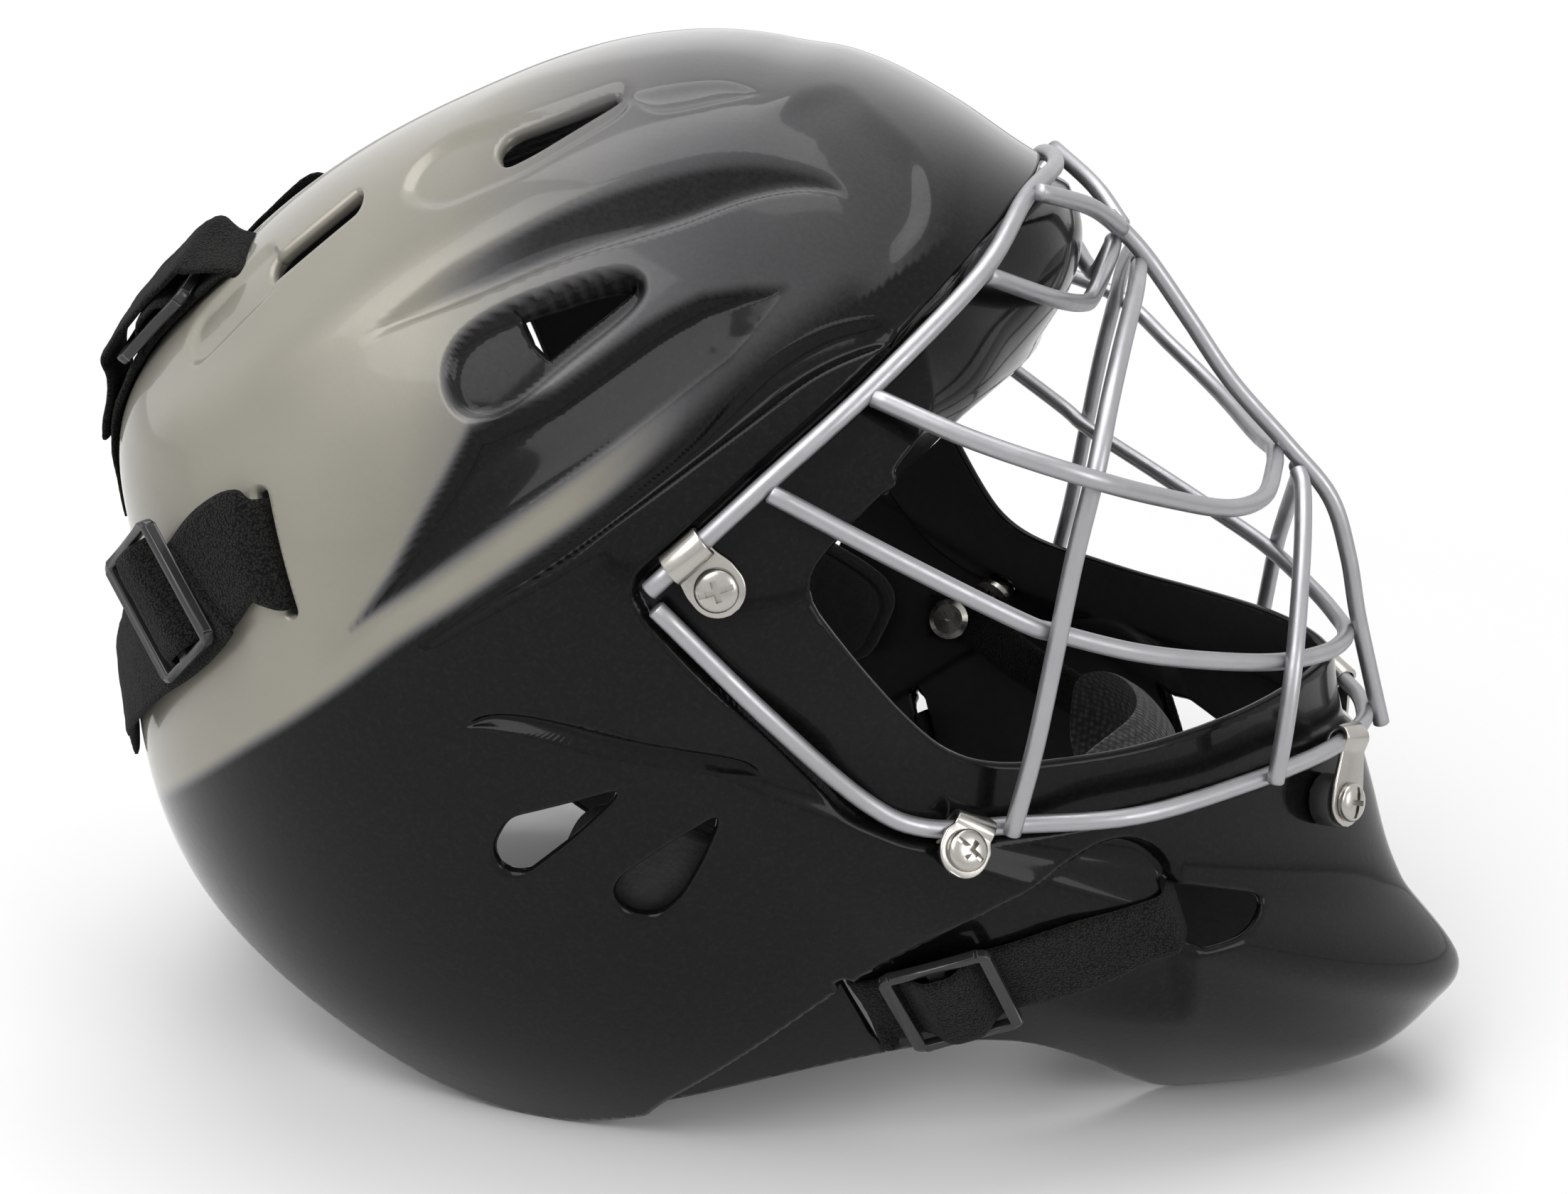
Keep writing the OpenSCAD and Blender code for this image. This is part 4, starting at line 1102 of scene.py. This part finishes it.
def top_strap():
    """The band, and a second one out of the same slot that rises over the slider."""
    slot, normal = over(*TOP_SLOT), over_normal(*TOP_SLOT)
    line = unit(np.array([0, 1.0, 0]) - normal[1] * normal)
    band, p, m = first_layer(TOP_ROUTE, STRAP_OFF, slot, normal, line, 12, 14.0)
    at = np.arange(*TOP_DOUBLED)
    low, high = STRAP_OFF + 2.2, 8.4
    rise = smooth(0.5, 3.4, at) * smooth(20.5, 17, at)
    q, k = on_skin(TOP_ROUTE[at], low + (high - low) * rise)
    q, k = np.concatenate([p[:4], q]), np.concatenate([m[:4], k])
    return join([band, webbing(q, k, LAYER_W, BAND_T, 32, slot_line=line)])


def bridge(ob, start, end):
    """Bakes the piece's place into its mesh; its two end points are converted but not used further."""
    tuple(to_part(start))
    tuple(to_part(end))
    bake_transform(ob)


def make_straps():
    """Builds each strap on both sides, and hands bridge() two places of its route, just before the rear
    plate.
    """
    straps = [("side_strap", side_strap(), on_skin(SIDE_ROUTE, SIDE_OFF)[0][SIDE_STRETCH]),
              ("top_strap", top_strap(), on_skin(TOP_ROUTE, STRAP_OFF)[0][TOP_STRETCH])]
    for way, tag in SIDES:
        for name, part, (near, far) in straps:
            ob = piece(f"{name}_{tag}_cloth", on_side(part, way), None, ELASTIC, f"{name}_{tag}")
            bridge(ob, near * [1, way, 1], far * [1, way, 1])


SLIDER_X = (-13.5, -10.6, -2.2, 2.2, 10.6, 13.5)
SLIDER_Y = (-16, -13.9, 13.9, 16)
SLIDER_T = 2.6
SLIDER_OFF = 2 * CLEAR + STRAP_T


def slider_mesh():
    """Frame with a middle bar, its edges rounded, lying in its own plane."""
    bm = bmesh.new()
    grid = {(i, j): bm.verts.new((x, y, 0)) for i, x in enumerate(SLIDER_X) for j, y in enumerate(SLIDER_Y)}
    for i in range(5):
        for j in range(3):
            if j != 1 or i not in (1, 3):
                bm.faces.new([grid[i, j], grid[i + 1, j], grid[i + 1, j + 1], grid[i, j + 1]])
    ext = bmesh.ops.extrude_face_region(bm, geom=bm.faces[:])
    raised_verts = [e for e in ext["geom"] if isinstance(e, bmesh.types.BMVert)]
    bmesh.ops.translate(bm, vec=(0, 0, SLIDER_T), verts=raised_verts)
    bmesh.ops.recalc_face_normals(bm, faces=bm.faces[:])
    tall = [e for e in bm.edges if abs(e.verts[0].co.z - e.verts[1].co.z) > 1]
    corner = [e for e in tall if abs(abs(e.verts[0].co.x) - SLIDER_X[-1]) < 0.01
              and abs(abs(e.verts[0].co.y) - SLIDER_Y[-1]) < 0.01]
    bmesh.ops.bevel(bm, geom=corner, offset=3.2, segments=6, profile=0.5, affect="EDGES")
    sharp = [e for e in bm.edges if len(e.link_faces) == 2 and e.calc_face_angle(0) > 0.9]
    bmesh.ops.bevel(bm, geom=sharp, offset=0.55, segments=3, profile=0.5, affect="EDGES")
    bm.verts.index_update()
    v = np.array([tuple(q.co) for q in bm.verts])
    f = [tuple(q.index for q in face.verts) for face in bm.faces]
    bm.free()
    return v, f


def seat_frame(origin, forward, normal):
    z = unit(normal)
    x = unit(forward - (forward @ z) * z)
    return origin, x, np.cross(z, x), z


def placed(part, seat):
    v, f = part
    o, x, y, z = seat
    return o + v[:, :1] * x + v[:, 1:2] * y + v[:, 2:] * z, f


def route_frame(route, i, off):
    p, n = on_skin(route, off)
    return seat_frame(p[i], p[i + 1] - p[i], n[i])


def loop_part(seed):
    """The elastic where it passes over the slider's middle bar."""
    s = np.linspace(-9.6, 9.6, 25)
    up = smooth(9.6, 3.0, np.abs(s))
    path = np.stack([s, 0 * s, -1.2 + 5.4 * up], -1)
    t = unit(np.gradient(path, axis=0))
    n = np.stack([-t[:, 2], 0 * s, t[:, 0]], -1)
    return webbing(path, n, STRAP_W + 1.4, 1.7, seed, gap=0.8, uneven=0.22)


LOWER_ENDS = np.array([[26, 68.5], [-34.5, 43.5]])
LOWER_RUN = [LOWER_ENDS[0] + (LOWER_ENDS[1] - LOWER_ENDS[0]) * i / 8 for i in range(9)]


def make_sliders():
    at, ahead = LOWER_RUN[6], LOWER_RUN[5]
    seats = {
        "top_slider": route_frame(TOP_ROUTE, 10, SLIDER_OFF),
        "side_slider": route_frame(SIDE_ROUTE, 15, SLIDER_OFF + 3.5 * SAG),
        "lower_slider": seat_frame(side(*at, SLIDER_OFF + 1.7 - JAW_D), side(*ahead) - side(*at),
                                   side_normal(*at)),
    }
    rigid = slider_mesh()
    for k, (name, seat) in enumerate(seats.items()):
        loops = both_sides(placed(loop_part(30 + k), seat))
        for (tag, part), (_, loop) in zip(both_sides(placed(rigid, seat)), loops):
            body = f"{name}_{tag}_body"
            piece(f"{name}_{tag}_frame", part, body, SLIDER, f"{name}_{tag}")
            piece(f"{name}_{tag}_loop", loop, body, ELASTIC)


def make_lower_straps():
    """Rows of the path: place, offset, depth below it, share of the normal that points ahead, width."""
    t2, narrow = STRAP_T / 2, 16
    rows = [((30.8, 69.8), 0, 8, 1, narrow), ((30.6, 69.7), 0, 3, 1, narrow),
            ((30, 69.5), 0, 0, 0.7, narrow), ((28.4, 69.1), t2, 0, 0.2, narrow)]
    rows += [(tuple(q), t2, 0, 0, min(STRAP_W, 17 + 3 * i)) for i, q in enumerate(LOWER_RUN)]
    rows += [((-37, 42.5), t2 - 0.4, 0, -0.3, STRAP_W), ((-38.3, 42), -0.8, 0, -0.7, STRAP_W),
             ((-38.7, 41.9), 0, 3, -1, STRAP_W), ((-38.8, 41.8), 0, 8, -1, STRAP_W)]
    ahead = unit(side(*LOWER_ENDS[0]) - side(*LOWER_ENDS[1]))
    p = np.array([side(*at, off + CLEAR - JAW_D) - [0, depth, 0] for at, off, depth, _, _ in rows])
    n = np.array([unit((1 - abs(lean)) * side_normal(*at) + lean * ahead) for at, _, _, lean, _ in rows])
    band = webbing(p, n, [r[4] for r in rows], 1.9, 21, uneven=0.15)
    for tag, part in both_sides(band):
        piece(f"lower_strap_{tag}_cloth", part, "mask", ELASTIC, f"lower_strap_{tag}")


# ---------- padding ----------
def ring(power, spokes):
    """Cosines, sines and reach of the points round a rounded square."""
    ang = np.linspace(0, 2 * math.pi, spokes, endpoint=False)
    c, s = np.cos(ang), np.sin(ang)
    return c, s, (np.abs(c)**power + np.abs(s)**power)**(-1 / power)


def cushion(place, thick, power=4.0, rings=15, spokes=72, seam=0.86, seed=1, lumps=0.35):
    """Crowned closed pad, flat on its seat and swelling to thick, with a sewn channel near its edge."""
    c, s, k = ring(power, spokes)
    rho = np.concatenate([[0], np.linspace(0.12, 0.8, rings - 7), [0.83, 0.86, 0.89, 0.93, 0.965, 0.99, 1.0]])
    top, low = [], []
    for q in rho:
        u, v = q * k * c, q * k * s
        h = thick * (1 - q**6)**0.42 * (0.82 + 0.18 * (1 - q * q))
        h = h - thick * 0.16 * math.exp(-((q - seam) / 0.028)**2)
        h = h + lumps * ripple(u * 30, v * 30, 22, seed) * (1 - q**4)
        base = 0.12 * thick * smooth(0.9, 1.0, q)
        top.append(place(u, v, np.maximum(h, base)))
        low.append(place(u, v, np.full(u.shape, base)))
    verts = [top[0][:1], low[0][:1]] + top[1:] + low[1:-1]
    n = len(rho)
    verts = np.concatenate(verts)
    t = lambda i, j: 2 + (i - 1) * spokes + j % spokes
    b = lambda i, j: t(i, j) if i == n - 1 else t(i + n - 1, j)
    faces = []
    for j in range(spokes):
        faces += [(0, t(1, j), t(1, j + 1)), (1, b(1, j + 1), b(1, j))]
        for i in range(1, n - 1):
            faces.append((t(i, j), t(i + 1, j), t(i + 1, j + 1), t(i, j + 1)))
            faces.append((b(i, j), b(i, j + 1), b(i + 1, j + 1), b(i + 1, j)))
    return verts, faces


LINER = -SHELL_T - CLEAR - SAG
PAD_T = 13.0


def centre_place(a0, a1, y, top):
    """Places a patch over the middle, between two angles and y to each side."""
    def place(u, v, h):
        angles = (a0 + a1) / 2 + u * (a1 - a0) / 2
        return np.array([over(a, -w * y, top - d) for a, w, d in zip(angles, v, h)])
    return place


def side_place(c, size, tilt, top):
    ct, st = math.cos(math.radians(tilt)), math.sin(math.radians(tilt))

    def place(u, v, h):
        a, b = u * size[0] / 2, -v * size[1] / 2
        x, z = c[0] + a * ct - b * st, c[1] + a * st + b * ct
        return np.array([side(p, q, top - d) for p, q, d in zip(x, z, h)])
    return place


def brow_place(u, v, h):
    y, z = -u * 45, 200 + v * 13.5
    x = brow_front(y, z) + LINER + 0.2
    return np.stack([x - h * 1.25, y, z], -1)


def pad(name, part, body="mask"):
    ob = piece(name + "_soft", part, body, FOAM, name)


def make_pads():
    pad("forehead_pad", orient(cushion(brow_place, PAD_T, seed=3)))
    pad("crown_pad", orient(cushion(centre_place(98, 132, 40, LINER), PAD_T, seed=4)))
    pairs = [("temple_pad", side_place((-104, 172), (46, 34), 40, LINER - FLUTE_D), 5),
             ("jaw_pad", side_place((-82, 82), (52, 30), -20, LINER), 6),
             ("neck_pad", side_place((-172, 92), (50, 66), 0, LINER), 7)]
    for name, place, seed in pairs:
        for tag, part in both_sides(orient(cushion(place, PAD_T, seed=seed))):
            pad(f"{name}_{tag}", part)


def orient(part):
    """Turns every face outward."""
    v, f = part
    vol = 0.0
    for q in f:
        for k in range(1, len(q) - 1):
            vol += np.dot(v[q[0]], np.cross(v[q[k]], v[q[k + 1]]))
    return (v, f) if vol > 0 else (v, [tuple(reversed(q)) for q in f])


def plaque(place, thick, power=6.0, rings=12, spokes=88):
    """Even plate with rounded edges, from its outer face (depth 0) inwards."""
    c, s, k = ring(power, spokes)
    edge = [(0.978, 0.12), (0.99, 0.4), (1.0, thick / 2), (0.99, thick - 0.4), (0.978, thick - 0.12)]
    loops = [(q, 0.0) for q in np.linspace(0.1, 0.96, rings)] + edge
    loops += [(q, thick) for q in np.linspace(0.96, 0.1, rings)]
    rows = [place(np.zeros(1), np.zeros(1), np.zeros(1))]
    rows += [place(q * k * c, q * k * s, np.full(spokes, d)) for q, d in loops]
    rows.append(place(np.zeros(1), np.zeros(1), np.full(1, thick)))
    verts = np.concatenate(rows)
    at = lambda i, j: 1 + i * spokes + j % spokes
    faces = []
    for j in range(spokes):
        faces.append((0, at(0, j), at(0, j + 1)))
        for i in range(len(loops) - 1):
            faces.append((at(i, j), at(i + 1, j), at(i + 1, j + 1), at(i, j + 1)))
        faces.append((len(verts) - 1, at(len(loops) - 1, j + 1), at(len(loops) - 1, j)))
    return orient((verts, faces))


PLATE_T, PLATE_TOP = 3.0, -0.1


def make_rear_plate():
    plate = plaque(centre_place(161, 216, 54, PLATE_TOP), PLATE_T)
    piece("rear_plate_moulded", plate, "plate", PLATE, "rear_plate")
    place = centre_place(164, 213, 49, PLATE_TOP - 3 - 4 * CLEAR - SAG)
    pad("rear_plate_pad", orient(cushion(place, PAD_T - 2, seed=9, spokes=96)), "plate")


# ---------- chin ----------
def cup_point(u, v, off):
    s = 1 - 0.28 * v * v - np.where(v < 0, 0.2 * v * v, 0)
    a = np.radians(u * 82)
    return np.stack([-3 + (32 + off) * s * np.cos(a), (40 + off) * s * np.sin(a), 80 + v * 17], -1)


def make_chin():
    place = lambda u, v, h: cup_point(-u, v, -4.2 + h)
    cup = orient(cushion(place, 6.0, power=3.2, rings=18, spokes=96, seam=0.9, seed=15, lumps=0.5))
    ob = piece("chin_cup_soft", cup, "chin", CUP, "chin_cup")
    snap = (-38, 80.3)
    up = side_normal(*snap)
    ahead = unit(np.array([1, 0, 0]) - up[0] * up)
    start = side(*snap, -SHELL_T - 4 * CLEAR - SAG - 1)
    end = cup_point(np.array([0.93]), np.array([0.0]), -2)[0] + [0, 3, 0]
    curve = spline([start + 7 * ahead, (start + end) / 2 + [2, 0.4, -1], end], 8)
    path = np.concatenate([[start - 6.5 * ahead, start - 3 * ahead, start], curve])
    out = np.array([0.25, 1, 0])
    turned = [unit(up * (1 - t) + out * t) for t in np.linspace(0.1, 1, len(path) - 4)]
    for tag, part in both_sides(webbing(path, np.array([up] * 4 + turned), 13, 1.9, 17)):
        piece(f"chin_strap_{tag}_cloth", part, "chin", ELASTIC, f"chin_strap_{tag}")


# ---------- clips and screws ----------
def lathe(profile, sides=48):
    """Profile of radius and height turned round; a point on the axis stays one point."""
    ang = np.linspace(0, 2 * math.pi, sides, endpoint=False)
    verts, faces = [], []
    rows = []
    for r, z in profile:
        if r < 1e-6:
            rows.append([len(verts)])
            verts.append([0, 0, z])
        else:
            rows.append(list(range(len(verts), len(verts) + sides)))
            verts += [[r * math.cos(q), r * math.sin(q), z] for q in ang]
    for a, b in zip(rows, rows[1:]):
        for j in range(sides):
            k = (j + 1) % sides
            if len(a) == 1:
                faces.append((a[0], b[k], b[j]))
            elif len(b) == 1:
                faces.append((a[j], a[k], b[0]))
            else:
                faces.append((a[j], a[k], b[k], b[j]))
    return orient((np.array(verts, float), faces))


CLIP_T, CLIP_W, RING_R = 1.2, 10.0, WIRE_R + 0.4
TAB_R = CLIP_W * 0.62
HEAD_D, HEAD_H = 9.6, 2.8
SPACER_H = 6
# Each pair of clips: its hole, the wire it holds, its lift, the depth of its seat, and its screws' turn
SEATS = {
    "upper_clip": (HOLES[0], "cage_upper_frame", CLEAR - LIP_D, LIP_D, 3, 23),
    "lower_clip": (HOLES[1], "cage_lower_frame", WIRE_LIFT + RING_R, LIP_D, 2, -38),
    "front_clip": (HOLES[2], "cage_lower_frame", SPACER_H + 2 * CLEAR, 0, 2, 64),
}


def wire_grip(hole, name, lift, n):
    """Wire point nearest the clip's tab, found as the part does, and the wire's direction there."""
    path = spline(WIRES[name], n)
    p = side(*hole) + side_normal(*hole) * lift
    i = int(np.argmin(np.linalg.norm(path - p, axis=1)))
    return path[i], unit(path[i + 1] - path[i - 1])


def clip_part(hole, name, lift, n):
    """Strip with a round tab that runs from its screw to the wire and bends round it."""
    o, up = side(*hole), side_normal(*hole)
    grip, lean = wire_grip(hole, name, lift, n)
    to_grip = grip - o
    x = unit(to_grip - (to_grip @ up) * up)
    flat, grip_h, tab_h = (to_grip @ x), (to_grip @ up), lift + CLIP_T / 2
    r = RING_R + CLIP_T / 2
    above = 1 if tab_h > grip_h else -1
    s = np.linspace(-TAB_R + 0.15, flat * 0.82, 26)
    line = np.stack([s, np.full(s.shape, tab_h)], -1)
    ang = np.radians(np.linspace(90, -160, 30))
    arc = np.stack([flat + r * np.cos(ang), grip_h + above * r * np.sin(ang)], -1)
    slope = np.array([line[-1] + (arc[0] - line[-1]) * smooth(0, 1, np.array(t))
                      for t in np.linspace(0.2, 0.8, 4)])
    flat_path = np.concatenate([line, slope, arc])
    place = flat_path[:, 0]
    path = o + flat_path[:, :1] * x + flat_path[:, 1:] * up
    t2 = unit(np.gradient(flat_path, axis=0))
    n2 = np.stack([-t2[:, 1], t2[:, 0]], -1)
    normals = n2[:, :1] * x + n2[:, 1:] * up
    tab = 2 * np.sqrt(np.maximum(TAB_R * TAB_R - np.minimum(place, 0)**2, 0.3))
    strip = 2 * TAB_R + (CLIP_W - 2 * TAB_R) * smooth(2, flat * 0.8, place)
    wide = np.where(place > 0, strip, np.where(place < 0, tab, 2 * TAB_R))
    b = np.cross(unit(np.gradient(path, axis=0)), normals)
    want = unit(lean if lean @ np.cross(x, up) > 0 else -lean)
    verts = []
    for i in range(len(path)):
        section = round_section(wide[i], CLIP_T, 0.42, 3)
        w = smooth(0.3, 1.0, np.array(i / len(path)))
        across = b[i] if (b[i] @ want) > 0 else -b[i]
        across = unit(across * (1 - w) + want * w)
        verts.append(path[i] + section[:, :1] * across + section[:, 1:] * normals[i])
    return orient((np.concatenate(verts), tube(len(path), len(verts[0]))))


def screw_head():
    """Domed head with a combined slot and cross recess."""
    r, rim = HEAD_D / 2, 1.1
    profile = [(0, 0), (r - 0.25, 0), (r, 0.25), (r, rim)]
    for t in np.linspace(0, 1, 9)[1:]:
        profile.append((r * math.cos(t * math.pi / 2)**0.7, rim + (HEAD_H - rim) * math.sin(t * math.pi / 2)))
    profile[-1] = (0, HEAD_H)
    v, f = lathe(profile)
    me = bpy.data.meshes.new("head")
    me.from_pydata(v.tolist(), [], f)
    head = linked("head", me)
    bm = bmesh.new()
    top = Matrix.Translation((0, 0, HEAD_H + 0.6))
    for sx, sy, deep in ((HEAD_D * 0.80, 1.15, 1.1), (1.3, HEAD_D * 0.5, 1.6), (HEAD_D * 0.5, 1.3, 1.6)):
        bmesh.ops.create_cube(bm, size=1, matrix=top @ Matrix.Diagonal((sx, sy, 2 * deep + 1.2, 1)))
    recess = bpy.data.meshes.new("cross")
    bm.to_mesh(recess)
    bm.free()
    cross = linked("cross", recess)
    mod = head.modifiers.new("cut", "BOOLEAN")
    mod.object, mod.operation, mod.solver = cross, "DIFFERENCE", "EXACT"
    mod.use_self = True
    bpy.context.view_layer.update()
    done = head.evaluated_get(bpy.context.evaluated_depsgraph_get()).to_mesh()
    v = np.array([tuple(q.co) for q in done.vertices])
    f = [tuple(p.vertices) for p in done.polygons]
    for ob in (head, cross):
        bpy.data.objects.remove(ob)
    return v, f


def make_fixings():
    head = screw_head()
    screws = []
    for label, (hole, name, lift, seat_d, n, turn) in SEATS.items():
        for tag, part in both_sides(clip_part(hole, name, lift, n)):
            sharpen(piece(f"{label}_{tag}_bent", part, "mask", STEEL, f"{label}_{tag}"), 50)
        base = lift + CLIP_T + 0.05
        up, a = side_normal(*hole), math.radians(turn)
        seat = seat_frame(side(*hole, 0) + up * base, np.array([math.cos(a), 0, math.sin(a)]), up)
        foot = -base - seat_d - SHELL_T
        shank = lathe([(0, foot - 1.5), (2.2, foot - 1.4), (2.4, foot - 0.9), (2.4, 0.4), (0, 0.4)], 28)
        one = join([placed(head, seat), placed(shank, seat)])
        screws += [one, mirror(one)]
    sharpen(piece("cage_screws_domed", join(screws), "mask", STEEL, "cage_screws"), 40)
    for node in ("cage_nuts", "chin_snaps"):
        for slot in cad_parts[node].material_slots:
            slot.material = STEEL
    hole = HOLES[2]
    seat = seat_frame(side(*hole), np.array([1.0, 0, 0]), side_normal(*hole))
    profile = [(2.75, 0.7), (6.1, 0.7), (6.5, 1.1), (6.5, 5.6), (6.1, 6.0), (2.75, 6.0), (2.75, 0.7)]
    spacer = placed(lathe(profile), seat)
    spacers = join([spacer, mirror(spacer)])
    sharpen(piece("front_spacers_rubber", spacers, "mask", RUBBER, "front_spacers"), 50)


# ---------- light, floor and camera ----------
def camera():
    """The photograph's camera: its focal length, axes and place."""
    cam = bpy.data.cameras.new("camera")
    cam.sensor_width = 36
    cam.lens = 3200 / 2206 * 36
    cam.clip_start, cam.clip_end = 0.01, 20
    ob = linked("camera", cam)
    right, up = (0.98531, 0.15898, 0.06234), (-0.11272, 0.33132, 0.93676)
    ahead = (-0.12827, 0.93003, -0.34438)
    m = Matrix.Identity(4)
    for i in range(3):
        m[i][0], m[i][1], m[i][2] = right[i], up[i], -ahead[i]
    m.translation = Vector((MID_X / 1000, -0.5522, 0.3193))
    ob.matrix_world = m
    bpy.context.scene.camera = ob


def lamp(name, where, at, size, power):
    d = bpy.data.lights.new(name, "AREA")
    d.shape = "RECTANGLE"
    d.size, d.size_y = size, size
    d.energy = power
    ob = linked(name, d)
    ob.location = where
    ob.rotation_euler = (Vector(at) - Vector(where)).to_track_quat("-Z", "Y").to_euler()


def make_world():
    """White to the camera and to reflections, and dimmer as a light."""
    scene = bpy.context.scene
    scene.view_settings.view_transform = "Standard"
    world = bpy.data.worlds.new("studio")
    scene.world = world
    world.use_nodes = True
    nt = world.node_tree
    back = nt.nodes["Background"]
    back.inputs["Color"].default_value = (1, 1, 1, 1)
    back.inputs["Strength"].default_value = 0.35
    seen = add(nt, "ShaderNodeBackground", _Color=(1, 1, 1, 1))
    path = add(nt, "ShaderNodeLightPath")
    both = maths(nt, "MAXIMUM", path.outputs["Is Camera Ray"],
                 maths(nt, "MAXIMUM", path.outputs["Is Glossy Ray"], path.outputs["Is Transmission Ray"]))
    m = add(nt, "ShaderNodeMixShader")
    for i, link in enumerate((both, back.outputs[0], seen.outputs[0])):
        nt.links.new(link, m.inputs[i])
    nt.links.new(m.outputs[0], nt.nodes["World Output"].inputs["Surface"])


def make_floor():
    """Floor that turns into plain white away from the mask, in the camera's view only."""
    floor, nt, b = material("floor", (0.86, 0.86, 0.86), 0.9, spec=0.0)
    tint(nt, b, noise(nt, 3, 2), (0.85, 0.85, 0.85), (0.88, 0.88, 0.88))
    far = add(nt, "ShaderNodeVectorMath", operation="LENGTH")
    nt.links.new(coords(nt), far.inputs[0])
    white = add(nt, "ShaderNodeEmission", _Color=(1, 1, 1, 1))
    seen_far = maths(nt, "MULTIPLY", remap(nt, far.outputs["Value"], 0.22, 0.6, 0, 1),
                     add(nt, "ShaderNodeLightPath").outputs["Is Camera Ray"])
    both = add(nt, "ShaderNodeMixShader")
    for i, link in enumerate((seen_far, b.outputs[0], white.outputs[0])):
        nt.links.new(link, both.inputs[i])
    nt.links.new(both.outputs[0], nt.nodes["Material Output"].inputs["Surface"])
    me = bpy.data.meshes.new("floor")
    s = 6
    me.from_pydata([(-s, -s, 0), (s, -s, 0), (s, s, 0), (-s, s, 0)], [], [(0, 1, 2, 3)])
    me.materials.append(floor)
    ob = linked("floor", me)


camera()
make_world()
make_floor()
lamp("key", (-0.9, -1.2, 1.8), (0, 0, 0.12), 1.5, 30)
lamp("top", (-0.2, 0.3, 1.9), (0, 0, 0.15), 1.4, 20)
lamp("front", (1.6, -0.9, 0.9), (0, 0, 0.12), 0.9, 10)
make_shell()
make_cage()
make_straps()
make_lower_straps()
make_sliders()
make_pads()
make_rear_plate()
make_chin()
make_fixings()
